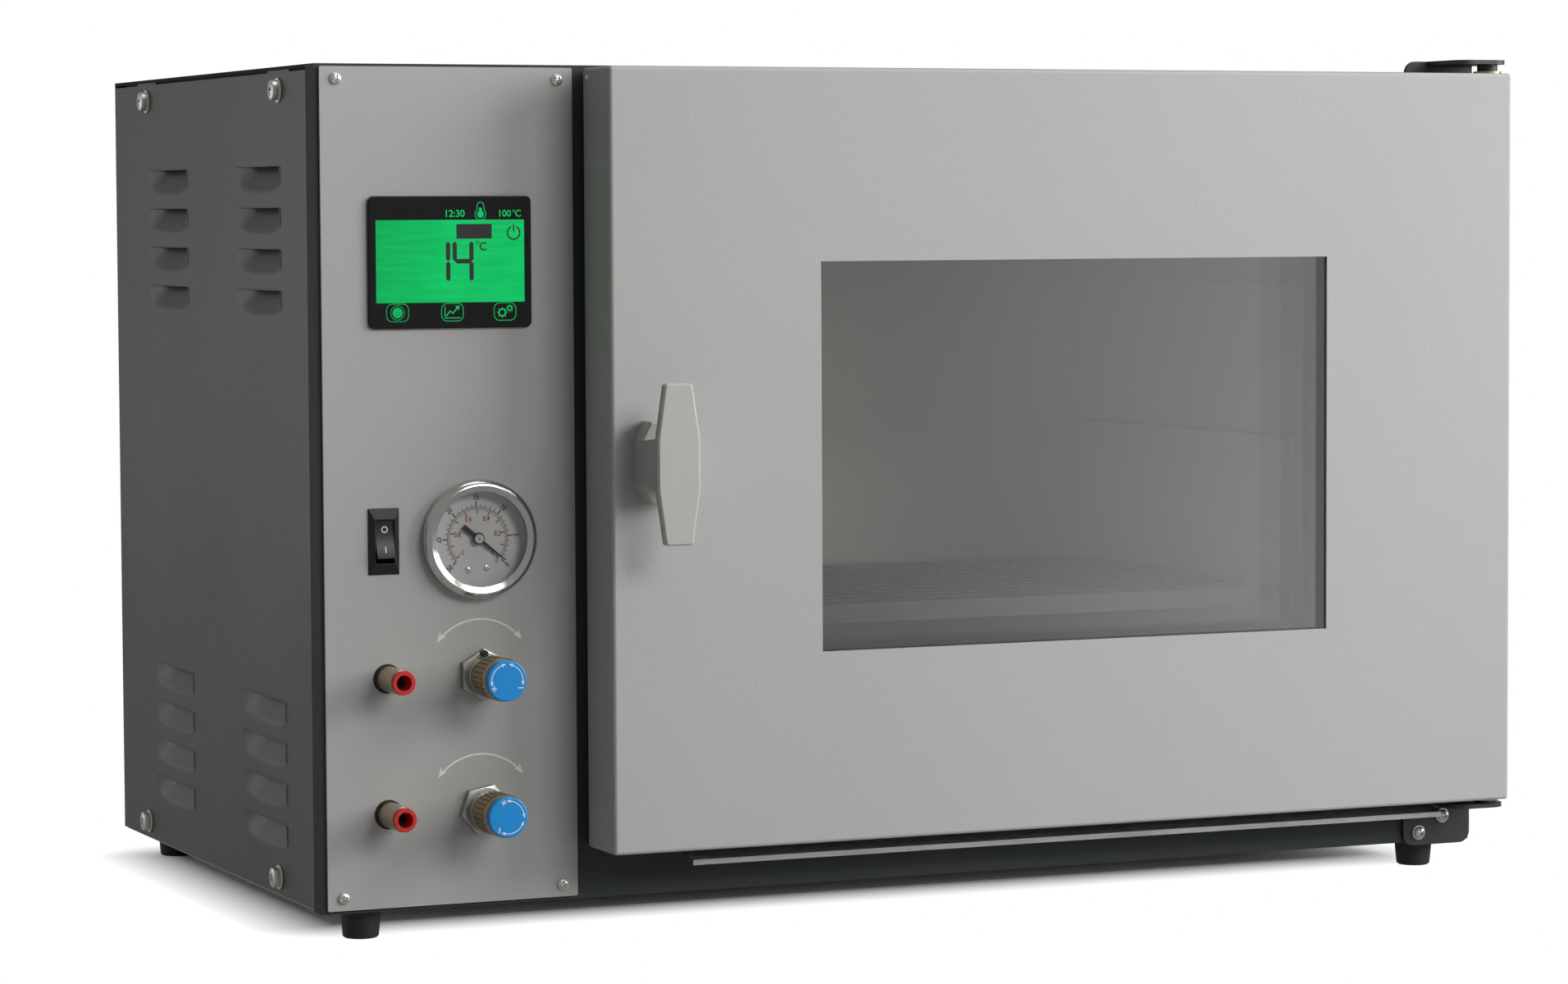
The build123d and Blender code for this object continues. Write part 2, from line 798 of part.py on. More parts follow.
def shelf():
    """Slotted shelf with turned-down front and rear edges, on the lowest runners."""
    half = cavity_width / 2 - shelf_side_play
    near = cavity_front + runner_end_gap
    far = cavity_back - runner_end_gap
    tray = block(door_x - half, door_x + half, near, far, shelf_z, shelf_z + shelf_sheet)
    skirt_half = half - runner_ledge - shelf_side_play
    for y in (near, far - shelf_sheet):
        tray += block(door_x - skirt_half, door_x + skirt_half, y, y + shelf_sheet,
                      shelf_z - shelf_skirt, shelf_z)
    depth = far - near
    with_gap_x = 2 * skirt_half / shelf_slot_columns
    with_gap_y = (depth - 4 * shelf_slot_width) / shelf_slot_rows
    slots = []
    for column in range(shelf_slot_columns):
        for row in range(shelf_slot_rows):
            x = door_x + (column - (shelf_slot_columns - 1) / 2) * with_gap_x
            y = (near + far) / 2 + (row - (shelf_slot_rows - 1) / 2) * with_gap_y
            slots.append(block(x - shelf_slot_length / 2, x + shelf_slot_length / 2,
                               y - shelf_slot_width / 2, y + shelf_slot_width / 2,
                               shelf_z, shelf_z + shelf_sheet))
    return tray - slots


def temperature_probe():
    """Sheathed probe through the chamber's left wall, with its gland outside the wall."""
    tip_x = chamber_left + chamber_wall + probe_reach
    sheath = rod_x(probe_y, probe_height, probe_radius, bulkhead_x - 12, tip_x)
    gland = rod_x(probe_y, probe_height, probe_gland_radius, chamber_left - 8, chamber_left)
    return sheath + gland


nodes["vacuum_chamber"] = vacuum_chamber()
nodes["door_gasket"] = door_gasket()
nodes["heater_mats"] = heater_mats()
nodes["insulation_jacket"] = insulation_jacket()
nodes["shelf_runners"] = shelf_runners()
nodes["shelf"] = shelf()
nodes["temperature_probe"] = temperature_probe()


# ---------------------------------------------------------------- control facia and its devices
def facia_panel():
    """Facia sheet with the cut-outs for its devices."""
    width, height = facia_width, facia_height
    sheet = rounded(facia_left + width / 2, facia_bottom + height / 2, width, height, 1.0)
    sheet -= framed(facia_left + display_x, facia_bottom + display_z,
                    display_width - 2 * display_housing_inset, display_height - 2 * display_housing_inset)
    sheet -= framed(facia_left + switch_x, facia_bottom + switch_z, switch_body_width, switch_body_height)
    sheet -= Pos(facia_left + gauge_x, facia_bottom + gauge_z) * Circle(gauge_case_radius)
    for z in (inlet_valve_z, pump_valve_z):
        sheet -= Pos(facia_left + valve_x, facia_bottom + z) * Circle(valve_bush_radius)
        sheet -= Pos(facia_left + port_x, facia_bottom + z) * Circle(port_hole_radius)
    for x, z in facia_screw_points:
        sheet -= Pos(x, z) * Circle(facia_screw_shank)
    return slab(sheet, facia_front, frame_front)


def display_bezel():
    """Bezel of the display with its housing behind the facia."""
    x, z = facia_left + display_x, facia_bottom + display_z
    body_width = display_width - 2 * display_housing_inset
    body_height = display_height - 2 * display_housing_inset
    bezel = slab(rounded(x, z, display_width, display_height, display_corner),
                 facia_front - display_rise, facia_front)
    bezel = chamfer(bezel.faces().sort_by(Axis.Y)[0].edges(), 0.6)
    bezel += slab(framed(x, z, body_width, body_height), facia_front, facia_front + display_housing_depth)
    bezel -= slab(framed(x, z + screen_rise_from_centre, screen_width, screen_height),
                  facia_front - display_rise, facia_front + display_housing_depth)
    return bezel


def display_screen():
    """Lit screen in the bezel's window."""
    x, z = facia_left + display_x, facia_bottom + display_z + screen_rise_from_centre
    return slab(framed(x, z, screen_width, screen_height), facia_front - display_rise + screen_recess,
                facia_front + display_housing_depth - 4)


def control_board():
    """Circuit board on four posts behind the display, with its transformer, relay and connector."""
    x, z = facia_left + display_x, facia_bottom + display_z
    front = facia_front + display_housing_depth + board_gap
    back = front + board_thickness
    half_x, half_z = display_width / 2 + board_margin_x, display_height / 2 + board_margin_z
    pieces = [block(x - half_x, x + half_x, front, back, z - half_z, z + half_z)]
    for side_x in (-1, 1):
        for side_z in (-1, 1):
            post_x = x + side_x * (half_x - board_post_radius)
            post_z = z + side_z * (half_z - board_post_radius)
            pieces.append(rod_y(post_x, post_z, board_post_radius, frame_front, front))
    for left, right, low, high, tall in board_blocks:
        pieces.append(block(x + left, x + right, back, back + tall, z + low, z + high))
    return group(pieces)


def switch_housing():
    """Rocker switch housing: a pyramid-sided bezel, a body behind the facia and the rocker's well."""
    x, z = facia_left + switch_x, facia_bottom + switch_z
    rim = slab(framed(x, z, switch_width, switch_height), facia_front - switch_edge, facia_front)
    base = Plane(origin=(0, facia_front - switch_edge, 0), x_dir=(1, 0, 0), z_dir=(0, -1, 0))
    top = Plane(origin=(0, facia_front - switch_rise, 0), x_dir=(1, 0, 0), z_dir=(0, -1, 0))
    slope = loft([(base * framed(x, z, switch_width, switch_height)).face(),
                  (top * framed(x, z, switch_mouth_width + 1.2, switch_mouth_height + 1.2)).face()])
    body = slab(framed(x, z, switch_body_width, switch_body_height),
                facia_front, facia_front + switch_body_depth)
    well = slab(framed(x, z, switch_mouth_width, switch_mouth_height), facia_front - switch_rise,
                facia_front + switch_body_depth - 4)
    pivot = rod_x(facia_front + rocker_pivot_depth, z, trunnion_radius + running_gap,
                  x - switch_mouth_width / 2 - 1.3, x + switch_mouth_width / 2 + 1.3)
    return rim + slope + body - well - pivot


def power_rocker():
    """Rocker with a hollowed face, tilted to its off position on its own trunnions."""
    x, z = facia_left + switch_x, facia_bottom + switch_z
    reach, half = rocker_reach, rocker_half_height
    outline = outline_of(
        ThreePointArc((-reach, half), (-reach + rocker_hollow, 0), (-reach, -half)),
        Polyline((-reach, -half), (2.0, -half + 1.5), (2.0, half - 1.5), (-reach, half)),
    )
    width = switch_mouth_width - 2 * rocker_play
    rocker = bar_x(outline, x - width / 2, x + width / 2)
    trunnion_end = switch_mouth_width / 2 + 1.2
    rocker += rod_x(0, 0, trunnion_radius, x - trunnion_end, x + trunnion_end)
    return Pos(0, facia_front + rocker_pivot_depth, z) * Rot(-rocker_tilt, 0, 0) * rocker


nodes["facia_panel"] = facia_panel()
facia_screw = pan_head(facia_screw_head, facia_screw_rise, facia_screw_dome, facia_screw_shank,
                       facia_sheet + frame_sheet + 2)
facia_screws = []
for screw_x, screw_z in facia_screw_points:
    facia_screws += place_all(facia_screw, Pos(screw_x, facia_front, screw_z) * TO_FRONT)
nodes["facia_screws"] = group(facia_screws)
nodes["display_bezel"] = display_bezel()
nodes["display_screen"] = display_screen()
nodes["control_board"] = control_board()
nodes["switch_housing"] = switch_housing()
nodes["power_rocker"] = power_rocker()

# ---------------------------------------------------------------- vacuum gauge
gauge_cx = facia_left + gauge_x
gauge_cz = facia_bottom + gauge_z
dial_front = facia_front + dial_depth
dial_back = dial_front + dial_thickness
lens_front = facia_front + lens_depth
needle_back = dial_front - needle_gap
case_back = facia_front + gauge_case_depth
shaft_bore = needle_shaft_radius + running_gap


def gauge_bezel():
    """Polished ring with a rounded front and an inner lip over the lens."""
    y = facia_front
    outline = outline_of(
        Polyline((gauge_case_radius, y), (bezel_radius, y), (bezel_radius, y - 0.45 * bezel_rise)),
        ThreePointArc((bezel_radius, y - 0.45 * bezel_rise), (bezel_radius - 1.2, y - 0.88 * bezel_rise),
                      (bezel_radius - 3.2, y - bezel_rise)),
        Polyline((bezel_radius - 3.2, y - bezel_rise), (bezel_lip_radius, lens_front - 0.9),
                 (bezel_lip_radius, lens_front), (gauge_case_radius, lens_front), (gauge_case_radius, y)),
    )
    return Pos(gauge_cx, 0, gauge_cz) * revolve(outline, Axis.Y)


def gauge_case():
    """Cup that holds the dial and the movement, with its threaded stem at the back."""
    inner = gauge_case_radius - gauge_case_wall
    lens_back = lens_front + lens_thickness
    return turned_y(gauge_cx, gauge_cz, [
        (inner, lens_back), (gauge_case_radius, lens_back), (gauge_case_radius, case_back),
        (gauge_stem_radius, case_back), (gauge_stem_radius, manifold_front), (0, manifold_front),
        (0, case_back - gauge_case_wall), (inner, case_back - gauge_case_wall)])


def gauge_dial():
    """Dial plate with the hole for the needle's shaft and the pin that stops the needle by zero."""
    dial = rod_y(gauge_cx, gauge_cz, gauge_case_radius - gauge_case_wall, dial_front, dial_back)
    pin_x = gauge_cx + stop_pin_reach * cos(radians(stop_pin_angle))
    pin_z = gauge_cz + stop_pin_reach * sin(radians(stop_pin_angle))
    dial += rod_y(pin_x, pin_z, stop_pin_radius, dial_front - stop_pin_rise, dial_front)
    return dial - rod_y(gauge_cx, gauge_cz, shaft_bore, dial_front, dial_back)


def gauge_needle():
    """Tapered needle with its tail, hub and shaft, at rest on the stop by zero."""
    front = needle_back - needle_thickness
    outline = Polygon((-needle_tail, -1.5), (0, -1.1), (needle_length, -0.25), (needle_length, 0.25),
                      (0, 1.1), (-needle_tail, 1.5), align=None)
    needle = slab(outline, front, needle_back)
    needle += rod_y(0, 0, needle_hub_radius, front - 0.8, needle_back)
    needle += rod_y(0, 0, needle_shaft_radius, front - 1.4, dial_back + 4)
    return Pos(gauge_cx, 0, gauge_cz) * Rot(0, -needle_rest_angle, 0) * needle


manifold_front = frame_front + manifold_gap + valve_body_depth
manifold_back = manifold_front + manifold_depth

nodes["gauge_bezel"] = gauge_bezel()
nodes["gauge_case"] = gauge_case()
nodes["gauge_dial"] = gauge_dial()
nodes["gauge_lens"] = rod_y(gauge_cx, gauge_cz, gauge_case_radius, lens_front, lens_front + lens_thickness)
nodes["gauge_needle"] = gauge_needle()

# ---------------------------------------------------------------- valves and tube ports
valve_cx = facia_left + valve_x
port_cx = facia_left + port_x
valve_rows = {"inlet": (facia_bottom + inlet_valve_z, inlet_nut_turn),
              "pump": (facia_bottom + pump_valve_z, pump_nut_turn)}
gland_back = facia_front - nut_thickness
gland_front = gland_back - gland_length
collar_back = gland_front - knob_gap
knob_back = collar_back - collar_length
knob_front = knob_back - knob_length
cap_front = knob_front - cap_thickness
valve_body_back = frame_front + valve_body_depth
port_front = facia_front - port_reach
port_back = frame_front + port_depth
collet_back = port_front - collet_travel - end_gap


def valve_body(z):
    """Valve body behind the facia, its bush through the facia and the gland ring in front of the nut."""
    body = rod_y(valve_cx, z, valve_body_radius, frame_front, valve_body_back)
    body += rod_y(valve_cx, z, valve_bush_radius, gland_back, frame_front)
    body += turned_y(valve_cx, z, [
        (0, gland_back), (gland_radius - 1, gland_back), (gland_radius - 1, gland_back - 2),
        (gland_radius, gland_back - 2.6), (gland_radius, gland_front), (0, gland_front)])
    return body - rod_y(valve_cx, z, stem_radius + running_gap, gland_front, facia_front + 8)


def valve_nut(z, turn):
    """Hexagon nut with a turned front edge, on the valve's bush."""
    hexagon = RegularPolygon(nut_across_flats / 2, 6, major_radius=False)
    nut = slab(Pos(valve_cx, z) * Rot(0, 0, turn) * hexagon, gland_back, facia_front)
    across_corners = nut_across_flats / 2 / cos(radians(30))
    nut &= turned_y(valve_cx, z, [
        (0, facia_front), (across_corners + 0.2, facia_front), (across_corners + 0.2, gland_back + 0.8),
        (nut_across_flats / 2 - 0.3, gland_back), (0, gland_back)])
    return nut - rod_y(valve_cx, z, valve_bush_radius, gland_back, facia_front)


def valve_knob(z):
    """Faceted knob with its collar, front rim and stem."""
    knob = slab(Pos(valve_cx, z) * RegularPolygon(knob_radius, knob_facets), knob_front + 2.5, knob_back)
    knob += rod_y(valve_cx, z, knob_radius, knob_front, knob_front + 2.5)
    knob += rod_y(valve_cx, z, collar_radius, knob_back, collar_back)
    return knob + rod_y(valve_cx, z, stem_radius, collar_back, facia_front + 6)


def valve_cap(z):
    """Coloured cap with a rounded edge on the front of a knob."""
    cap = rod_y(valve_cx, z, cap_radius, cap_front, knob_front)
    return fillet(cap.faces().sort_by(Axis.Y)[0].edges(), 0.8)


def port_fitting(z):
    """Push-in fitting: a body with a seat for the tube, a counterbore for the collet and a waist."""
    seat = tube_radius + tube_play
    well = collet_sleeve_radius + running_gap
    seat_front = port_front + collet_sleeve_length + 2
    seat_back = seat_front + tube_seat_length
    flange_end = frame_front + port_flange
    return turned_y(port_cx, z, [
        (well, port_front), (port_body_radius - 0.5, port_front), (port_body_radius, port_front + 0.5),
        (port_body_radius, frame_front), (port_flange_radius, frame_front), (port_flange_radius, flange_end),
        (port_body_radius, flange_end), (port_body_radius, port_back), (0, port_back), (0, port_back - 3),
        (tube_radius - 1.2, port_back - 3), (tube_radius - 1.2, seat_back), (seat, seat_back),
        (seat, seat_front), (well, seat_front)])


def port_collet(z):
    """Release collet: a flange in front of the fitting and a sleeve that slides in it."""
    bore = tube_radius + collet_bore_play
    sleeve_back = port_front + collet_sleeve_length
    return turned_y(port_cx, z, [
        (bore, collet_back - collet_flange), (collet_radius - 0.4, collet_back - collet_flange),
        (collet_radius, collet_back - collet_flange + 0.4), (collet_radius, collet_back),
        (collet_sleeve_radius, collet_back), (collet_sleeve_radius, sleeve_back), (bore, sleeve_back)])


for name, (row_z, nut_turn) in valve_rows.items():
    nodes[name + "_valve_knob"] = valve_knob(row_z)
    nodes[name + "_valve_cap"] = valve_cap(row_z)
    nodes[name + "_port_collet"] = port_collet(row_z)
nodes["valve_bodies"] = group([valve_body(row_z) for row_z, _ in valve_rows.values()])
nodes["valve_nuts"] = group([valve_nut(row_z, turn) for row_z, turn in valve_rows.values()])
nodes["port_fittings"] = group([port_fitting(row_z) for row_z, _ in valve_rows.values()])


def vacuum_lines():
    """Straight tubes: port to valve, valve to manifold, and manifold to chamber."""
    tubes = []
    cross_y = frame_front + valve_body_depth / 2
    for row_z, _ in valve_rows.values():
        tubes.append(rod_x(cross_y, row_z, line_radius,
                           port_cx + port_body_radius, valve_cx - valve_body_radius))
        tubes.append(rod_y(valve_cx, row_z, line_radius, valve_body_back, manifold_front))
    tubes.append(rod_x(line_y, line_height, line_radius, valve_cx + manifold_width / 2, chamber_left))
    return group(tubes)


nodes["vacuum_lines"] = vacuum_lines()
nodes["vacuum_manifold"] = block(valve_cx - manifold_width / 2, valve_cx + manifold_width / 2,
                                 manifold_front, manifold_back,
                                 facia_bottom + pump_valve_z - 14, facia_bottom + gauge_z + 12)


# ---------------------------------------------------------------- electrics on the bulkhead
def heatsink_relay():
    """Solid state relay on its finned heat sink, fixed to the bulkhead."""
    low = cabinet_bottom + relay_inset_z
    near = frame_back + relay_inset_y
    left = bulkhead_x - heatsink_base
    sink = block(left, bulkhead_x, near, near + heatsink_length, low, low + heatsink_height)
    pitch = (heatsink_length - 2) / (heatsink_fins - 1)
    for fin in range(heatsink_fins):
        y = near + fin * pitch
        if fin in (0, 1, 2, heatsink_fins - 3, heatsink_fins - 2, heatsink_fins - 1):
            sink += block(left - heatsink_fin, left, y, y + 2, low, low + heatsink_height)
    middle = near + heatsink_length / 2
    relay_half = min(relay_height, (heatsink_fins - 6) * pitch) / 2
    relay = block(left - relay_depth, left, middle - relay_half, middle + relay_half,
                  low + (heatsink_height - relay_width) / 2, low + (heatsink_height + relay_width) / 2)
    return sink, relay


nodes["relay_heatsink"], nodes["solid_state_relay"] = heatsink_relay()

# ---------------------------------------------------------------- hinges
plate_right = cabinet_right - plate_edge_inset
plate_left = plate_right - plate_width
leaf_left = pivot_x - leaf_length_left
leaf_right = pivot_x + leaf_nose_radius
leaf_front = pivot_y - leaf_nose_radius


flat_screw = flat_head(bracket_screw_head, bracket_screw_shank, bracket_screw_length)


def leaf_outline():
    """Leaf seen from above: square at the plate, rounded about the pivot."""
    outline = Pos((leaf_left + leaf_right) / 2, (leaf_front + frame_front) / 2) * Rectangle(
        leaf_right - leaf_left, frame_front - leaf_front)
    corners = outline.vertices().group_by(Axis.Y)[0]
    outline = fillet(corners, leaf_nose_radius - 0.5)
    return outline - Pos(pivot_x, pivot_y) * Circle(pin_radius)


def hinge_brackets():
    """Two brackets, each a plate on the frame's face and a leaf over or under the door."""
    brackets = []
    lower = (leaf_bottom_z - leaf_sheet, leaf_bottom_z)
    upper = (leaf_top_z, leaf_top_z + leaf_sheet)
    for leaf_low, plate_top in (lower, upper):
        leaf = Pos(0, 0, leaf_low) * extrude(leaf_outline(), leaf_sheet)
        plate = Pos((plate_left + plate_right) / 2, plate_top - plate_drop / 2) * Rectangle(
            plate_right - plate_left, plate_drop)
        corners = plate.vertices().group_by(Axis.Y)[0]
        if plate_top > door_top:
            corners += plate.vertices().group_by(Axis.X)[0].group_by(Axis.Y)[-1]
        plate = fillet(corners, plate_corner)
        brackets.append(leaf + slab(plate, frame_front - leaf_sheet, frame_front))
    for x, z in bracket_screw_points(leaf_bottom_z):
        brackets[0] -= rod_y(x, z, bracket_screw_shank, frame_front - leaf_sheet, frame_front)
    for x, z in bracket_screw_points(leaf_top_z + leaf_sheet):
        brackets[1] -= Pos(x, frame_front - leaf_sheet, z) * TO_FRONT * flat_screw[0]
    return group(brackets)


def hinge_pins():
    """Two pins, riveted flush into their leaves and reaching into the door's bushes."""
    return group([rod_z(pivot_x, pivot_y, pin_radius, leaf_bottom_z - leaf_sheet, door_bottom + bush_length),
                  rod_z(pivot_x, pivot_y, pin_radius, door_top - bush_length, leaf_top_z + leaf_sheet)])


def hinge_rings(radius, sides):
    """Rings on the two pins between (low, high) heights."""
    ring = Circle(radius) - Circle(pin_radius)
    return group([Pos(pivot_x, pivot_y, low) * extrude(ring, high - low) for low, high in sides])


nodes["hinge_brackets"] = hinge_brackets()
nodes["hinge_pins"] = hinge_pins()
nodes["hinge_washers"] = hinge_rings(washer_radius, [
    (door_bottom - end_gap - washer_thickness, door_bottom - end_gap),
    (door_top + end_gap, door_top + end_gap + washer_thickness)])
nodes["hinge_spacers"] = hinge_rings(spacer_radius, [
    (leaf_bottom_z, door_bottom - end_gap - washer_thickness),
    (door_top + end_gap + washer_thickness, leaf_top_z)])
bracket_screw = pan_head(bracket_screw_head, bracket_screw_rise, bracket_screw_dome, bracket_screw_shank,
                         bracket_screw_length, bracket_washer_radius, bracket_washer)
hinge_screws = []
for screw_x, screw_z in bracket_screw_points(leaf_bottom_z):
    hinge_screws += place_all(bracket_screw, Pos(screw_x, frame_front - leaf_sheet, screw_z) * TO_FRONT)
for screw_x, screw_z in bracket_screw_points(leaf_top_z + leaf_sheet):
    hinge_screws += place_all(flat_screw, Pos(screw_x, frame_front - leaf_sheet, screw_z) * TO_FRONT)
nodes["hinge_screws"] = group(hinge_screws)


# ---------------------------------------------------------------- drip strip
def drip_strip():
    """Folded strip that comes down behind the door and slopes out below it."""
    left = door_left + strip_left_inset
    right = leaf_left - strip_right_gap
    fold_z = door_bottom - 3.5
    front_y = frame_front - strip_reach - facia_sheet
    front_z = fold_z - strip_fall
    lip_z = front_z - strip_sheet - strip_lip
    outline = Polygon((frame_front, fold_z + strip_leg), (frame_front, fold_z - strip_sheet),
                      (front_y, front_z - strip_sheet), (front_y, lip_z), (front_y - strip_sheet, lip_z),
                      (front_y - strip_sheet, front_z), (frame_front - strip_sheet, fold_z),
                      (frame_front - strip_sheet, fold_z + strip_leg), align=None)
    strip = bar_x(outline, left, right)
    over_plate = max(right - plate_left + 1.0, 0.0)
    if over_plate:
        strip -= block(right - over_plate, right + 1, frame_front - leaf_sheet, frame_front,
                       fold_z - 20, fold_z + 40)
    return strip


nodes["drip_strip"] = drip_strip()


# ---------------------------------------------------------------- door
def door_shell():
    """Pressed door pan with rounded edges, the window, the handle's hole and the hinge holes."""
    pan = block(door_left, door_right, door_front, door_rear, door_bottom, door_top)
    pan = fillet(pan.faces().sort_by(Axis.Y)[0].edges() + pan.edges().filter_by(Axis.Y), door_edge_radius)
    pan -= block(door_left + door_sheet, door_right - door_sheet, door_front + door_sheet, door_rear,
                 door_bottom + door_sheet, door_top - door_sheet)
    pan -= slab(framed(door_x, door_z, window_width, window_height), door_front, door_front + door_sheet)
    pan -= rod_y(handle_x, handle_z, spindle_radius + 1, door_front, door_front + door_sheet)
    pan -= rod_z(pivot_x, pivot_y, pin_radius + running_gap, door_bottom, door_bottom + door_sheet)
    return pan - rod_z(pivot_x, pivot_y, pin_radius + running_gap, door_top - door_sheet, door_top)


glass_width = cavity_width + 2 * glass_lap
glass_height = cavity_height + 2 * glass_lap
glass_front = door_rear - glass_thickness
panel_front = door_rear - inner_panel_sheet


def door_inner_panel():
    """Plate that closes the door's back around the toughened glass."""
    sheet = framed(door_x, door_z, door_right - door_left - 2 * door_sheet,
                   door_top - door_bottom - 2 * door_sheet)
    sheet -= rounded(door_x, door_z, glass_width + 2 * glass_play, glass_height + 2 * glass_play, 6.0)
    sheet -= Pos(handle_x, handle_z) * Circle(spindle_radius + 1)
    return slab(sheet, panel_front, door_rear)


def glass_frame():
    """Frame on the inner panel whose lip carries the toughened glass."""
    outer_width = glass_width + 2 * (glass_play + glass_frame_wall)
    outer_height = glass_height + 2 * (glass_play + glass_frame_wall)
    frame = slab(framed(door_x, door_z, outer_width, outer_height),
                 glass_front - glass_frame_wall, panel_front)
    frame -= slab(rounded(door_x, door_z, glass_width + 2 * glass_play, glass_height + 2 * glass_play, 6.0),
                  glass_front, panel_front)
    frame -= slab(framed(door_x, door_z, glass_width - glass_lap, glass_height - glass_lap),
                  glass_front - glass_frame_wall, glass_front)
    return frame


def hinge_bushes():
    """Two bushes inside the door, against its top and bottom sheets."""
    ring = Circle(bush_radius) - Circle(pin_radius + running_gap)
    length = bush_length + 4
    return group([Pos(pivot_x, pivot_y, door_bottom + door_sheet) * extrude(ring, length),
                  Pos(pivot_x, pivot_y, door_top - door_sheet - length) * extrude(ring, length)])


def octagon(width, height, flat, end_width):
    """Long octagon outline with upright flats and narrower ends."""
    w, h, f, e = width / 2, height / 2, flat / 2, end_width / 2
    return Polygon((w, f), (e, h), (-e, h), (-w, f), (-w, -f), (-e, -h), (e, -h), (w, -f), align=None)


def handle_rosette():
    """Octagonal rosette on the door face with the spindle's bearing."""
    outline = octagon(rosette_width, rosette_height, rosette_flat, rosette_end_width)
    rosette = slab(Pos(handle_x, handle_z) * outline, rosette_front, door_front)
    rosette = chamfer(rosette.faces().sort_by(Axis.Y)[0].edges(), 1.0)
    return rosette - rod_y(handle_x, handle_z, spindle_radius + running_gap, rosette_front, door_front)


nodes["door_shell"] = door_shell()
nodes["door_inner_panel"] = door_inner_panel()
nodes["glass_frame"] = glass_frame()
nodes["inner_glass"] = slab(rounded(door_x, door_z, glass_width, glass_height, 5.0), glass_front, door_rear)
nodes["outer_pane"] = slab(framed(door_x, door_z, window_width + 2 * pane_lap, window_height + 2 * pane_lap),
                           door_front + door_sheet, door_front + door_sheet + pane_thickness)
nodes["hinge_bushes"] = hinge_bushes()
nodes["handle_rosette"] = handle_rosette()


# ---------------------------------------------------------------- handle and latch
def door_handle():
    """Long six-sided blade on a flared neck, bored for the spindle."""
    outline = Pos(handle_x, handle_z) * octagon(blade_width, blade_height, blade_flat, blade_end_width)
    blade = slab(outline, blade_front, neck_front)
    corners = blade.edges().filter_by(Axis.Y).group_by(Axis.Z)
    blade = fillet(corners[0] + corners[-1], 2.0)
    blade = chamfer(blade.faces().sort_by(Axis.Y)[0].edges(), blade_bevel)
    base = Plane(origin=(0, neck_back, 0), x_dir=(1, 0, 0), z_dir=(0, -1, 0))
    tip = Plane(origin=(0, neck_front, 0), x_dir=(1, 0, 0), z_dir=(0, -1, 0))
    neck = loft([(base * framed(handle_x, handle_z, rosette_width, neck_height_base)).face(),
                 (tip * framed(handle_x, handle_z, rosette_width, neck_height_blade)).face()])
    return blade + neck - rod_y(handle_x, handle_z, spindle_radius, neck_back - 12, neck_back)


def handle_spindle():
    """Spindle through the door, with a tenon that carries the latch bar."""
    spindle = rod_y(handle_x, handle_z, spindle_radius, neck_back - 12, latch_front)
    return spindle + rod_y(handle_x, handle_z, tenon_radius, latch_front, latch_back)


def latch_bar():
    """Upright bar that passes the keeper's slot, and lies across it when the handle is turned."""
    bar = slab(rounded(handle_x, handle_z, latch_bar_width, latch_bar_length, latch_bar_width / 2 - 0.5),
               latch_front, latch_back)
    return bar - rod_y(handle_x, handle_z, tenon_radius, latch_front, latch_back)


def latch_keeper():
    """Thick plate behind the frame with the slot for the latch bar."""
    plate = slab(rounded(handle_x, handle_z, keeper_size, keeper_size, 4.0), plate_back, keeper_back)
    return plate - slab(framed(handle_x, handle_z, slot_width, slot_height), plate_back, keeper_back)


nodes["door_handle"] = door_handle()
nodes["handle_spindle"] = handle_spindle()
nodes["latch_bar"] = latch_bar()
nodes["latch_keeper"] = latch_keeper()

# ---------------------------------------------------------------- files
os.makedirs("parts", exist_ok=True)
for name, shape in nodes.items():
    export_step(shape, os.path.join("parts", name + ".step"))
print(len(nodes), "nodes")
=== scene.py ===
"""Looks of a bench vacuum oven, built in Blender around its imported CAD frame."""

import json
import logging
import math
from dataclasses import dataclass
from enum import Enum
from functools import cache
from typing import Callable, Sequence

import bmesh
import bpy
from mathutils import Matrix, Vector

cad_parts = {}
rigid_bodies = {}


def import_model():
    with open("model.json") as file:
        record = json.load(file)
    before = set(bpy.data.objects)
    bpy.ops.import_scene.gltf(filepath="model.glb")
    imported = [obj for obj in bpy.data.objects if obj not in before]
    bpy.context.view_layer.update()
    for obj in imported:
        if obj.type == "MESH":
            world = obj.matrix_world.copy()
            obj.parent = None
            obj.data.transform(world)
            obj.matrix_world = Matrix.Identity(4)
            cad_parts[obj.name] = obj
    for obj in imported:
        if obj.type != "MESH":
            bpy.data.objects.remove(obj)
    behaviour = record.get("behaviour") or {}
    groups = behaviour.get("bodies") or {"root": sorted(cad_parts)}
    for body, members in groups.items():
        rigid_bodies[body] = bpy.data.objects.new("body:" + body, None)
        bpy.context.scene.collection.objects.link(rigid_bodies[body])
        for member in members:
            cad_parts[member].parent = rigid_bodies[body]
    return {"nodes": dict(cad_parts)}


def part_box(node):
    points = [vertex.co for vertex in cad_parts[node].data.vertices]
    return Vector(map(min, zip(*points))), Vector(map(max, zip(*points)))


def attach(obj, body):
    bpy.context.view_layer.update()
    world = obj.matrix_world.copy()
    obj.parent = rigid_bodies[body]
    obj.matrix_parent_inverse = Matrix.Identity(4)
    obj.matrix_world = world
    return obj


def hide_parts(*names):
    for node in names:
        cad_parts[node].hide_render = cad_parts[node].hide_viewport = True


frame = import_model()

logging.basicConfig(level=logging.INFO, format="%(name)s: %(message)s")
LOG = logging.getLogger("oven")
MM = 0.001

Flat = tuple[float, float]
Point = tuple[float, float, float]
Face = tuple[int, ...]
Socket = bpy.types.NodeSocket


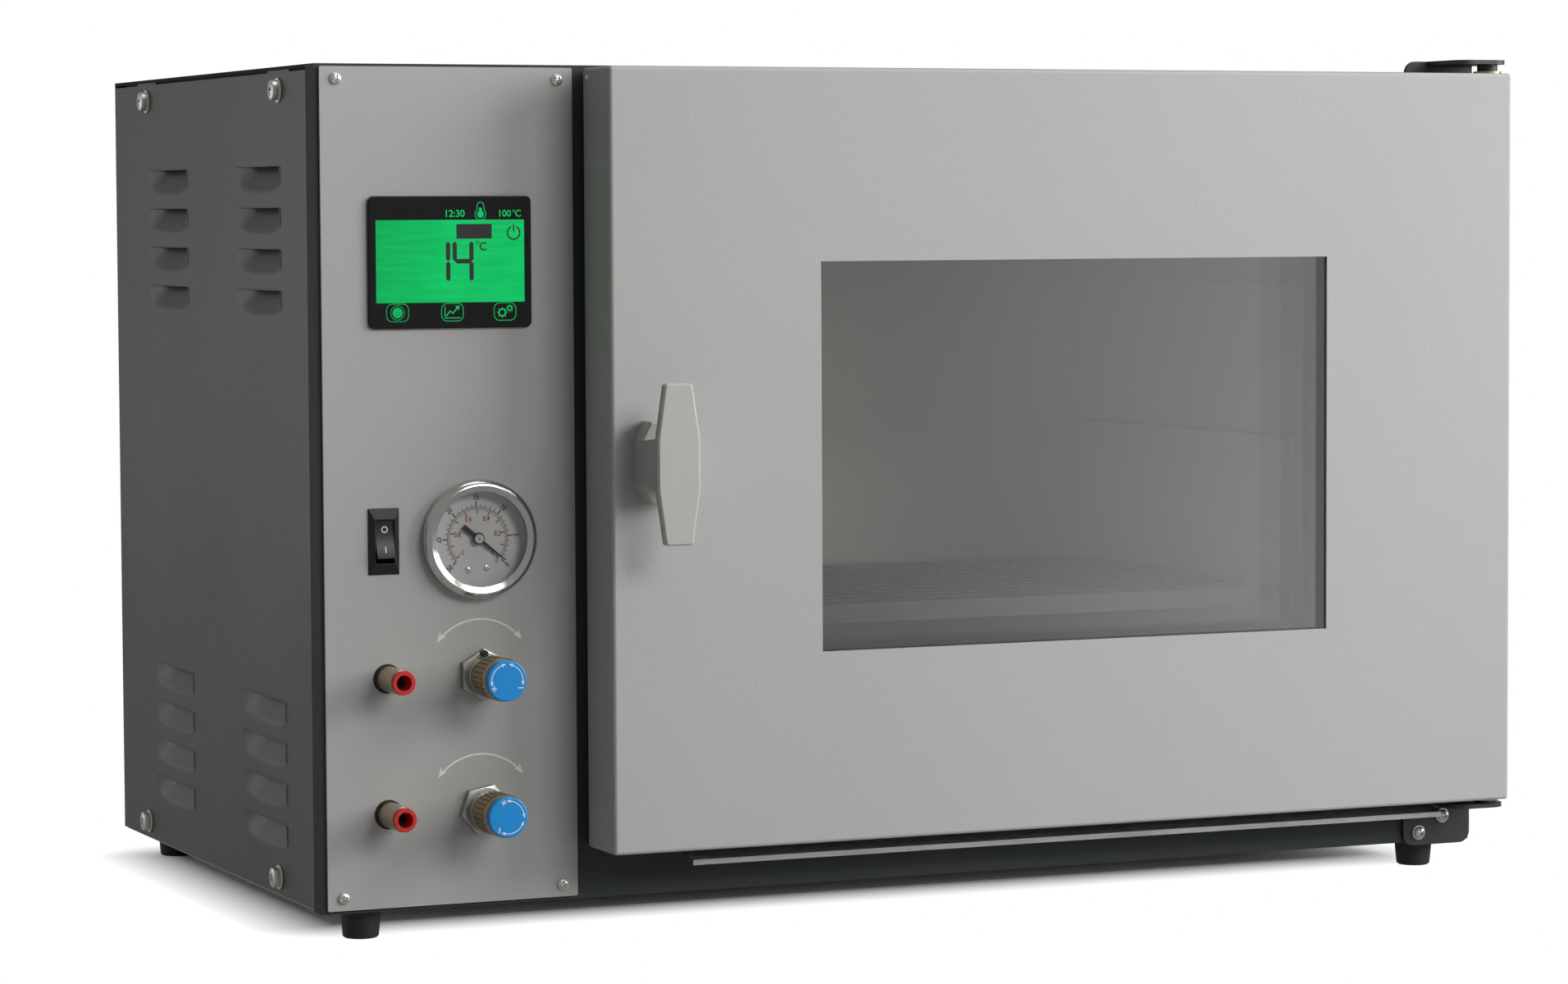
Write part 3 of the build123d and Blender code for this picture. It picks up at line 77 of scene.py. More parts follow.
# ---------------------------------------------------------------- finishes
class NodeGraph:
    """A material's node tree with short ways to add and join nodes."""

    def __init__(self, name: str) -> None:
        """Starts a material with only an output and a principled shader.

        Args:
            name: the material's name.
        """
        self.material = bpy.data.materials.new(name)
        self.material.use_nodes = True
        self.tree = self.material.node_tree
        self.shader = self.tree.nodes["Principled BSDF"]

    def node(self, kind: str, **inputs: object) -> bpy.types.Node:
        """Adds a node and sets its inputs by name.

        Args:
            kind: the node's type name.
            inputs: input names, with spaces as underscores, and their values.

        Returns:
            The new node.
        """
        made = self.tree.nodes.new(kind)
        for key, value in inputs.items():
            made.inputs[key.replace("_", " ")].default_value = value
        return made

    def join(self, start: Socket, end: Socket) -> None:
        """Links two sockets."""
        self.tree.links.new(start, end)

    def maths(self, operation: str, *values: Socket | float) -> Socket:
        """Adds a maths node.

        Args:
            operation: what it does, in the node's own word.
            values: its inputs, each a socket or a fixed value.

        Returns:
            The result's socket.
        """
        made = self.tree.nodes.new("ShaderNodeMath")
        made.operation = operation
        for socket, value in zip(made.inputs, values):
            if isinstance(value, Socket):
                self.join(value, socket)
            else:
                socket.default_value = value
        return made.outputs[0]

    def show(self, surface: Socket) -> None:
        """Makes a shader the material's surface."""
        self.join(surface, self.tree.nodes["Material Output"].inputs["Surface"])

    def show_mixed(self, share: Socket, first: Socket, second: Socket) -> None:
        """Makes the surface a mix of two shaders.

        Args:
            share: how much of the second shows, 0 to 1.
            first: one shader.
            second: the other.
        """
        mix = self.tree.nodes.new("ShaderNodeMixShader")
        for socket, value in zip(mix.inputs, (share, first, second)):
            self.join(value, socket)
        self.show(mix.outputs["Shader"])

    def uniform(self, **inputs: object) -> None:
        """Sets inputs of the principled shader to fixed values."""
        for key, value in inputs.items():
            self.shader.inputs[key.replace("_", " ")].default_value = value

    def position(self) -> Socket:
        """Returns the object-space position, the same at rest in every pose."""
        return self.tree.nodes.new("ShaderNodeTexCoord").outputs["Object"]

    def noise(self, scale: float, detail: float = 2.0, roughness: float = 0.5,
              stretch: Point = (1.0, 1.0, 1.0)) -> Socket:
        """Adds a noise texture over the object.

        Args:
            scale: cycles per metre.
            detail: octaves.
            roughness: weight of the finer octaves.
            stretch: how much faster the noise runs along each axis.

        Returns:
            The noise's factor socket.
        """
        mapping = self.node("ShaderNodeMapping", Scale=stretch)
        self.join(self.position(), mapping.inputs["Vector"])
        made = self.node("ShaderNodeTexNoise", Scale=scale, Detail=detail, Roughness=roughness)
        self.join(mapping.outputs["Vector"], made.inputs["Vector"])
        return made.outputs["Fac"]

    def spread(self, value: Socket, low: float, high: float, start: float = 0.3,
               end: float = 0.7) -> Socket:
        """Maps a value from start..end to low..high, clamped.

        Returns:
            The mapped socket.
        """
        made = self.node("ShaderNodeMapRange", From_Min=start, From_Max=end, To_Min=low, To_Max=high)
        self.join(value, made.inputs["Value"])
        return made.outputs["Result"]

    def tint(self, value: Socket, low: Sequence[float], high: Sequence[float]) -> None:
        """Colours the shader between two colours by a 0..1 value."""
        mix = self.tree.nodes.new("ShaderNodeMix")
        mix.data_type = "RGBA"
        mix.inputs["A"].default_value = (*low, 1.0)
        mix.inputs["B"].default_value = (*high, 1.0)
        self.join(value, mix.inputs["Factor"])
        self.join(mix.outputs["Result"], self.shader.inputs["Base Color"])

    def bump(self, value: Socket, strength: float, distance: float,
             under: Socket | None = None) -> Socket:
        """Adds a bump to the shader's normal.

        Args:
            value: the height.
            strength: 0 to 1.
            distance: the height's size in metres.
            under: a bump to add this one to.

        Returns:
            The bump's normal socket.
        """
        made = self.node("ShaderNodeBump", Strength=strength, Distance=distance)
        self.join(value, made.inputs["Height"])
        if under is not None:
            self.join(under, made.inputs["Normal"])
        self.join(made.outputs["Normal"], self.shader.inputs["Normal"])
        return made.outputs["Normal"]


def linear(red: float, green: float, blue: float) -> Point:
    """Turns 0..255 display values into linear colour.

    Returns:
        Red, green and blue, 0..1.
    """
    def one(value: float) -> float:
        part = value / 255.0
        return part / 12.92 if part <= 0.04045 else ((part + 0.055) / 1.055) ** 2.4
    return one(red), one(green), one(blue)


@dataclass(frozen=True)
class PowderCoat:
    """Sprayed paint: fine orange peel, and a faint cloudiness of tone.

    Attributes:
        colour: linear colour.
        roughness: the coat's mean roughness.
        peel: height of the orange peel in metres.
        grain: cycles of the peel per metre.
        cloud: how far the tone drifts, as a share.
        metallic: 0 for paint, up to 1 for bare or flake coats.
        speckle: share of brightness in single grains.
        specular: reflection level, 0.5 as usual.
    """

    colour: Point
    roughness: float = 0.42
    peel: float = 0.00004
    grain: float = 900.0
    cloud: float = 0.03
    metallic: float = 0.0
    speckle: float = 0.0
    specular: float = 0.5

    def build(self, name: str) -> bpy.types.Material:
        """Makes the material.

        Returns:
            The new material.
        """
        graph = NodeGraph(name)
        graph.uniform(Metallic=self.metallic, Specular_IOR_Level=self.specular)
        drift = graph.noise(5.0, 3.0)
        low = tuple(c * (1 - self.cloud - self.speckle) for c in self.colour)
        high = tuple(min(1.0, c * (1 + self.cloud + self.speckle)) for c in self.colour)
        tone = drift
        if self.speckle:
            tone = graph.maths("MULTIPLY", graph.maths("ADD", drift, graph.noise(self.grain * 0.9, 1.0)), 0.5)
        graph.tint(graph.spread(tone, 0.0, 1.0), low, high)
        grains = graph.noise(self.grain, 2.0, 0.6)
        graph.join(graph.spread(grains, self.roughness - 0.05, self.roughness + 0.07),
                   graph.shader.inputs["Roughness"])
        graph.bump(grains, 0.6, self.peel)
        return graph.material


@dataclass(frozen=True)
class Metal:
    """Bare metal with drawn or turned streaks and a little uneven gloss.

    Attributes:
        colour: linear colour of the reflection.
        roughness: mean roughness.
        streak: how much faster the streaks run along each axis.
        depth: depth of the streaks in metres.
        scale: cycles of the streaks per metre.
        dirt: share by which the tone falls in patches.
    """

    colour: Point
    roughness: float = 0.3
    streak: Point = (1.0, 1.0, 1.0)
    depth: float = 0.00001
    scale: float = 300.0
    dirt: float = 0.1

    def build(self, name: str) -> bpy.types.Material:
        """Makes the material.

        Returns:
            The new material.
        """
        graph = NodeGraph(name)
        graph.uniform(Metallic=1.0)
        patches = graph.noise(60.0, 3.0)
        dull = tuple(c * (1 - self.dirt) for c in self.colour)
        graph.tint(graph.spread(patches, 0.0, 1.0), dull, self.colour)
        lines = graph.noise(self.scale, 3.0, 0.6, self.streak)
        graph.join(graph.spread(lines, self.roughness * 0.75, self.roughness * 1.3),
                   graph.shader.inputs["Roughness"])
        graph.bump(lines, 0.5, self.depth)
        return graph.material


@dataclass(frozen=True)
class Plastic:
    """Moulded plastic or rubber with a fine grain.

    Attributes:
        colour: linear colour.
        roughness: mean roughness.
        grain: depth of the grain in metres.
        specular: reflection level, 0.5 as usual.
    """

    colour: Point
    roughness: float = 0.4
    grain: float = 0.00001
    specular: float = 0.5

    def build(self, name: str) -> bpy.types.Material:
        """Makes the material.

        Returns:
            The new material.
        """
        graph = NodeGraph(name)
        graph.uniform(Specular_IOR_Level=self.specular)
        grains = graph.noise(1400.0, 2.0)
        drift = graph.noise(30.0, 2.0)
        graph.tint(graph.spread(drift, 0.0, 1.0), tuple(c * 0.93 for c in self.colour), self.colour)
        graph.join(graph.spread(grains, self.roughness - 0.05, self.roughness + 0.05),
                   graph.shader.inputs["Roughness"])
        graph.bump(grains, 0.4, self.grain)
        return graph.material


@dataclass(frozen=True)
class Glass:
    """Thin clear pane: mostly see-through, with a tint and a reflection.

    Attributes:
        colour: linear tint of what shows through.
        veil: share that is mirrored on top of the plain glass's own.
        veil_colour: linear colour of the mirrored light.
        straight: share that plain glass mirrors when it is seen straight on.
        rise: power with which that share rises to the glancing view.
    """

    colour: Point
    veil: float = 0.0
    veil_colour: Point = (0.9, 0.9, 0.9)
    straight: float = 0.035
    rise: float = 5.0

    def build(self, name: str) -> bpy.types.Material:
        """Makes the material.

        Returns:
            The new material.
        """
        graph = NodeGraph(name)
        smear = graph.noise(14.0, 3.0)
        graph.join(graph.spread(smear, 0.02, 0.05), graph.shader.inputs["Roughness"])
        graph.uniform(Base_Color=(*self.veil_colour, 1.0), Metallic=1.0)
        clear = graph.node("ShaderNodeBsdfTransparent", Color=(*self.colour, 1.0))
        slant = graph.node("ShaderNodeLayerWeight", Blend=0.5)
        steep = graph.maths("POWER", slant.outputs["Facing"], self.rise)
        share = graph.maths("MULTIPLY_ADD", steep, 0.96, self.straight + self.veil)
        share.node.use_clamp = True
        graph.show_mixed(share, clear.outputs["BSDF"], graph.shader.outputs["BSDF"])
        return graph.material


@dataclass(frozen=True)
class Glow:
    """Lit liquid crystal behind a smooth cover, with faint level streaks and a dimmer left side.

    Attributes:
        colour: linear colour of the light.
        power: strength of the light.
        streaks: streaks per metre up the screen.
        dimmest: share of the light that is left at the left side.
        dim_span: where along X the light is dimmest and where it is full, in metres.
        unlit: brightness of the screen's own colour, as a share of the light's.
    """

    colour: Point
    power: float = 1.0
    streaks: float = 420.0
    dimmest: float = 0.74
    dim_span: Flat = (-0.330, -0.285)
    unlit: float = 0.06

    def build(self, name: str) -> bpy.types.Material:
        """Makes the material.

        Returns:
            The new material.
        """
        graph = NodeGraph(name)
        lines = graph.spread(graph.noise(self.streaks, 3.0, 0.6, (0.06, 1.0, 1.0)), 0.82, 1.06)
        blotch = graph.spread(graph.noise(22.0, 2.0), 0.84, 1.04)
        across = graph.node("ShaderNodeSeparateXYZ")
        graph.join(graph.position(), across.inputs[0])
        side = graph.spread(across.outputs["X"], self.dimmest, 1.0, *self.dim_span)
        level = graph.maths("MULTIPLY", lines, self.power)
        for factor in (blotch, side):
            level = graph.maths("MULTIPLY", level, factor)
        graph.join(level, graph.shader.inputs["Emission Strength"])
        dim = tuple(c * self.unlit for c in self.colour)
        graph.uniform(Base_Color=(*dim, 1.0), Roughness=0.3, Specular_IOR_Level=0.2,
                      Emission_Color=(*self.colour, 1.0))
        return graph.material


class Finish(Enum):
    """Every finish of the oven."""

    PANEL = PowderCoat(linear(180, 180, 178), 0.46, 0.00013, 520.0, 0.02)
    COVER = PowderCoat(linear(98, 99, 96), 0.42, 0.00004, 900.0, 0.10, 0.35, 0.20)
    FRAME = PowderCoat(linear(66, 70, 72), 0.5, 0.00003, 1100.0, 0.04, 0.0, 0.0, 0.12)
    # Top cover: its own dark paint, made much darker as painted shade for its edge and the shadow along it.
    EDGE = PowderCoat(linear(34, 36, 37), 0.6, 0.00003, 1100.0, 0.04, 0.0, 0.0, 0.1)
    BRACKET = PowderCoat(linear(56, 58, 58), 0.42, 0.00003, 1100.0, 0.05, 0.3)
    # Chamber and runners: stainless made darker than bare steel, painted shade for the dim inside of the
    # chamber behind the window.
    STAINLESS = PowderCoat((0.30, 0.30, 0.29), 0.5, 0.00002, 500.0, 0.05, 0.35)
    # Shelf: the chamber's stainless made darker still, painted shade so the shelf lit through the window
    # stays dim.
    RACK = PowderCoat((0.11, 0.11, 0.108), 0.5, 0.00002, 500.0, 0.05, 0.5)
    ZINC = Metal((0.74, 0.72, 0.68), 0.34, (1.0, 1.0, 1.0), 0.00001, 500.0, 0.15)
    STEEL = Metal((0.72, 0.72, 0.71), 0.2, (1.0, 1.0, 1.0), 0.000005, 500.0, 0.08)
    NUT = Metal((0.50, 0.49, 0.46), 0.42, (1.0, 1.0, 1.0), 0.00001, 500.0, 0.15)
    POLISHED = Metal((0.66, 0.65, 0.63), 0.15, (1.0, 1.0, 1.0), 0.000003, 300.0, 0.06)
    HANDLE = PowderCoat(linear(186, 186, 182), 0.40, 0.00003, 900.0, 0.02)
    HEATSINK = PowderCoat((0.02, 0.02, 0.022), 0.4)
    PANE = Glass((0.955, 0.96, 0.95), 0.055)
    INNER_PANE = Glass((0.955, 0.96, 0.95), 0.0)
    LENS = Glass((0.97, 0.975, 0.97), -0.01)
    SILICONE = Plastic((0.012, 0.012, 0.013), 0.5, 0.00002)
    FOOT = Plastic((0.012, 0.012, 0.012), 0.5, 0.00002)
    WOOL = PowderCoat((0.62, 0.56, 0.40), 0.9, 0.0008, 400.0, 0.15)
    BRASS = Metal((0.60, 0.42, 0.18), 0.28, (1.0, 1.0, 1.0), 0.00001, 500.0, 0.2)
    BRONZE = Metal((0.28, 0.20, 0.12), 0.36, (1.0, 1.0, 1.0), 0.00001, 500.0, 0.2)
    KNOB = Metal((0.36, 0.275, 0.15), 0.36, (1.0, 1.0, 1.0), 0.00001, 700.0, 0.25)
    BLACK = Plastic((0.010, 0.010, 0.010), 0.42)
    BEZEL = Plastic((0.009, 0.0075, 0.0075), 0.2, 0.000004, 0.35)
    GREEN = Glow(linear(6, 205, 106), 0.9)
    BLUE = Plastic(linear(14, 146, 222), 0.34)
    RED = Plastic(linear(206, 44, 40), 0.36)
    BOARD = Plastic((0.01, 0.08, 0.03), 0.4)
    DIAL = PowderCoat(linear(214, 214, 213), 0.5, 0.00001, 900.0, 0.01)
    NEEDLE = Plastic((0.008, 0.008, 0.008), 0.45)
    TUBE = Metal((0.7, 0.7, 0.69), 0.2)
    CREAM = Plastic(linear(242, 239, 222), 0.5)
    WHITE = Plastic(linear(235, 235, 235), 0.45)
    INK = Plastic((0.006, 0.008, 0.007), 0.5)
    INK_RED = Plastic(linear(150, 38, 34), 0.5)
    STRIP = Metal((0.70, 0.70, 0.69), 0.3, (0.05, 1.0, 1.0), 0.00001, 600.0, 0.1)

    def material(self) -> bpy.types.Material:
        """Returns the finish's material, made once."""
        name = self.name.lower()
        return bpy.data.materials.get(name) or self.value.build(name)


NODE_FINISH: dict[str, Finish] = {
    "front_frame": Finish.FRAME, "left_side_cover": Finish.COVER, "right_side_cover": Finish.COVER,
    "rear_cover": Finish.COVER, "top_cover": Finish.EDGE, "base_tray": Finish.ZINC, "feet": Finish.FOOT,
    "chamber_supports": Finish.ZINC, "bulkhead": Finish.ZINC, "cover_screws": Finish.ZINC,
    "cord_gland": Finish.BLACK, "vacuum_chamber": Finish.STAINLESS, "door_gasket": Finish.SILICONE,
    "heater_mats": Finish.SILICONE, "insulation_jacket": Finish.WOOL, "shelf_runners": Finish.STAINLESS,
    "shelf": Finish.RACK, "temperature_probe": Finish.STEEL, "facia_panel": Finish.PANEL,
    "facia_screws": Finish.ZINC, "display_bezel": Finish.BEZEL, "display_screen": Finish.GREEN,
    "control_board": Finish.BOARD, "switch_housing": Finish.BLACK, "power_rocker": Finish.BLACK,
    "gauge_bezel": Finish.POLISHED, "gauge_case": Finish.ZINC, "gauge_dial": Finish.DIAL,
    "gauge_lens": Finish.LENS, "gauge_needle": Finish.NEEDLE, "inlet_valve_knob": Finish.KNOB,
    "inlet_valve_cap": Finish.BLUE, "inlet_port_collet": Finish.RED, "pump_valve_knob": Finish.KNOB,
    "pump_valve_cap": Finish.BLUE, "pump_port_collet": Finish.RED, "valve_bodies": Finish.ZINC,
    "valve_nuts": Finish.NUT, "port_fittings": Finish.BRONZE, "vacuum_lines": Finish.TUBE,
    "vacuum_manifold": Finish.BRASS, "relay_heatsink": Finish.HEATSINK, "solid_state_relay": Finish.BLACK,
    "hinge_brackets": Finish.BRACKET, "hinge_pins": Finish.ZINC, "hinge_washers": Finish.BRONZE,
    "hinge_spacers": Finish.BLACK, "hinge_screws": Finish.ZINC, "drip_strip": Finish.STRIP,
    "door_shell": Finish.PANEL, "door_inner_panel": Finish.FRAME, "glass_frame": Finish.ZINC,
    "inner_glass": Finish.INNER_PANE, "outer_pane": Finish.PANE, "hinge_bushes": Finish.BRONZE,
    "handle_rosette": Finish.HANDLE, "door_handle": Finish.HANDLE, "handle_spindle": Finish.ZINC,
    "latch_bar": Finish.ZINC, "latch_keeper": Finish.ZINC,
}


# ---------------------------------------------------------------- shared making
# Points nearer than this are one point, in metres.
SAME_POINT = 1e-6
# Lifts a flat print that would otherwise lie in one plane with another.
ABOVE = Matrix.Translation((0.0, 0.0, 0.000006))


@cache
def box_of(node: str) -> tuple[Vector, Vector]:
    """Returns the lowest and highest corner of a CAD node's box, worked out once."""
    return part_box(node)


def middle_of(node: str) -> Vector:
    """Returns the middle of a CAD node's box."""
    low, high = box_of(node)
    return Vector(((low.x + high.x) / 2, (low.y + high.y) / 2, (low.z + high.z) / 2))


def polar(radius: float, degrees: float) -> Flat:
    """Returns the point at a radius and an angle, anticlockwise from the right."""
    angle = math.radians(degrees)
    return radius * math.cos(angle), radius * math.sin(angle)


def arc_points(radius: float, start: float, end: float, steps: int) -> list[Flat]:
    """Returns points along an arc about the origin, with angles in degrees."""
    return [polar(radius, start + (end - start) * k / steps) for k in range(steps + 1)]


def circle_points(radius: float, steps: int = 32) -> list[Flat]:
    """Returns points round a whole circle about the origin."""
    turns = [2 * math.pi * k / steps for k in range(steps)]
    return [(radius * math.cos(turn), radius * math.sin(turn)) for turn in turns]


def soft_box(width: float, height: float, radius: float, steps: int = 6) -> list[Flat]:
    """Returns a rectangle outline with rounded corners, in millimetres."""
    track = []
    for corner, (sx, sy) in enumerate(((1, 1), (-1, 1), (-1, -1), (1, -1))):
        cx, cy = sx * (width / 2 - radius), sy * (height / 2 - radius)
        track += [(cx + x, cy + y) for x, y in arc_points(radius, 90 * corner, 90 * corner + 90, steps)]
    return track


def turn_about(axis: str, degrees: float) -> Matrix:
    """Returns a turn about X, Y or Z."""
    return Matrix.Rotation(math.radians(degrees), 4, axis)


def facing_front(place: Vector, turn: float = 0.0) -> Matrix:
    """Returns the transform of a local XY drawing onto a plane that faces the front.

    Args:
        place: where the drawing's origin goes.
        turn: turn in degrees, anticlockwise as seen from the front.
    """
    return Matrix.Translation(place) @ turn_about("X", 90) @ turn_about("Z", turn)


class Piece:
    """One mesh that is being put together from points and faces, in metres."""

    def __init__(self, name: str) -> None:
        """Starts an empty piece.

        Args:
            name: the object's name.
        """
        self.name = name
        self.points: list[Point] = []
        self.faces: list[Face] = []

    def add(self, points: Sequence[Sequence[float]], faces: Sequence[Sequence[int]],
            place: Matrix | None = None) -> None:
        """Adds points and the faces that use them.

        Args:
            points: new points.
            faces: faces that count from the first new point.
            place: a transform for the new points.
        """
        start = len(self.points)
        for point in points:
            moved = place @ Vector(point) if place is not None else point
            self.points.append(tuple(moved))
        self.faces += [tuple(start + index for index in face) for face in faces]

    def strip(self, rows: Sequence[Sequence[Sequence[float]]], close_round: bool = False,
              place: Matrix | None = None) -> None:
        """Adds a surface through rows of points.

        Args:
            rows: equally long rows of points.
            close_round: whether each row closes on itself.
            place: a transform for the points.
        """
        width = len(rows[0])
        points = [point for row in rows for point in row]
        faces = []
        last = width if close_round else width - 1
        for r in range(len(rows) - 1):
            for c in range(last):
                d = (c + 1) % width
                faces.append((r * width + c, r * width + d, (r + 1) * width + d, (r + 1) * width + c))
        self.add(points, faces, place)

    def turned(self, profile: Sequence[Flat], steps: int = 64, place: Matrix | None = None) -> None:
        """Adds a surface turned about the local Z axis.

        Args:
            profile: (radius, z) points in millimetres.
            steps: flats round the axis.
            place: a transform for the points.
        """
        rows = [[(x, y, height * MM) for x, y in circle_points(radius * MM, steps)]
                for radius, height in profile]
        self.strip(rows, True, place)

    def made(self, finish: Finish, smooth: float = 40.0) -> bpy.types.Object:
        """Makes the object, with doubled points joined and its normals outward.

        Args:
            finish: its finish.
            smooth: angle in degrees up to which edges are shaded smooth.

        Returns:
            The new object.
        """
        mesh = bpy.data.meshes.new(self.name)
        mesh.from_pydata(self.points, [], self.faces)
        work = bmesh.new()
        work.from_mesh(mesh)
        bmesh.ops.remove_doubles(work, verts=work.verts, dist=SAME_POINT)
        bmesh.ops.recalc_face_normals(work, faces=work.faces)
        work.to_mesh(mesh)
        work.free()
        mesh.shade_smooth()
        mesh.set_sharp_from_angle(angle=math.radians(smooth))
        mesh.materials.append(finish.material())
        made = bpy.data.objects.new(self.name, mesh)
        bpy.context.scene.collection.objects.link(made)
        LOG.info("%s: %d faces", self.name, len(mesh.polygons))
        return made

    def settled(self, finish: Finish, like: str, body: str, smooth: float = 40.0,
                stands_for: str = "") -> None:
        """Makes the object and ties it to the oven.

        Args:
            finish: its finish.
            like: a CAD node's name; not used.
            body: the body it rides on.
            smooth: angle in degrees up to which edges are shaded smooth.
            stands_for: the CAD node it replaces, if any.
        """
        made = self.made(finish, smooth)
        if stands_for:
            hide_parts(stands_for)
        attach(made, body)


@dataclass(frozen=True)
class Bench:
    """Places on the facia that several sub-assemblies share.

    Attributes:
        left: the facia's left edge.
        low: the facia's bottom edge.
        front: the facia's front plane.
    """

    left: float
    low: float
    front: float

    def at(self, across: float, up: float, out: float = 0.0) -> Vector:
        """Returns a point from millimetres across and up the facia and out of its face."""
        return Vector((self.left + across * MM, self.front - out * MM, self.low + up * MM))


# ---------------------------------------------------------------- repeated things
class Repeater:
    """Geometry Nodes group that turns copies of a mesh about the Z axis by equal steps."""

    def __init__(self) -> None:
        """Builds the node group once."""
        tree = bpy.data.node_groups.new("turned_copies", "GeometryNodeTree")
        face = tree.interface
        face.new_socket("Geometry", in_out="INPUT", socket_type="NodeSocketGeometry")
        self.ids: dict[str, str] = {}
        for name, kind in (("Count", "Int"), ("Start", "Float"), ("Step", "Float"), ("Material", "Material")):
            self.ids[name] = face.new_socket(name, in_out="INPUT", socket_type="NodeSocket" + kind).identifier
        face.new_socket("Geometry", in_out="OUTPUT", socket_type="NodeSocketGeometry")
        start, end, points, index, turn, angles, copies, real, paint = (tree.nodes.new(kind) for kind in (
            "NodeGroupInput", "NodeGroupOutput", "GeometryNodePoints", "GeometryNodeInputIndex",
            "ShaderNodeMath", "ShaderNodeCombineXYZ", "GeometryNodeInstanceOnPoints",
            "GeometryNodeRealizeInstances", "GeometryNodeSetMaterial"))
        turn.operation = "MULTIPLY_ADD"
        for source, output, target, entry in (
                (start, "Count", points, "Count"), (index, "Index", turn, 0), (start, "Step", turn, 1),
                (start, "Start", turn, 2), (turn, 0, angles, "Z"), (points, "Points", copies, "Points"),
                (start, "Geometry", copies, "Instance"), (angles, "Vector", copies, "Rotation"),
                (copies, "Instances", real, "Geometry"), (real, "Geometry", paint, "Geometry"),
                (start, "Material", paint, "Material"), (paint, "Geometry", end, "Geometry")):
            tree.links.new(source.outputs[output], target.inputs[entry])
        self.tree = tree

    def ring(self, item: bpy.types.Object, count: int, start: float, step: float,
             finish: Finish) -> tuple[list[Point], list[Face]]:
        """Copies an item round the Z axis and reads the copies back.

        Args:
            item: the drawn item, which is used up.
            count: how many copies.
            start: angle of the first, in degrees.
            step: angle between copies, in degrees.
            finish: the copies' finish.

        Returns:
            The copies' points and faces.
        """
        modifier = item.modifiers.new("copies", "NODES")
        modifier.node_group = self.tree
        for name, value in (("Count", count), ("Start", math.radians(start)), ("Step", math.radians(step)),
                            ("Material", finish.material())):
            modifier[self.ids[name]] = value
        graph = bpy.context.evaluated_depsgraph_get()
        mesh = bpy.data.meshes.new_from_object(item.evaluated_get(graph))
        points = [tuple(v.co) for v in mesh.vertices]
        faces = [tuple(p.vertices) for p in mesh.polygons]
        bpy.data.objects.remove(item)
        bpy.data.meshes.remove(mesh)
        return points, faces


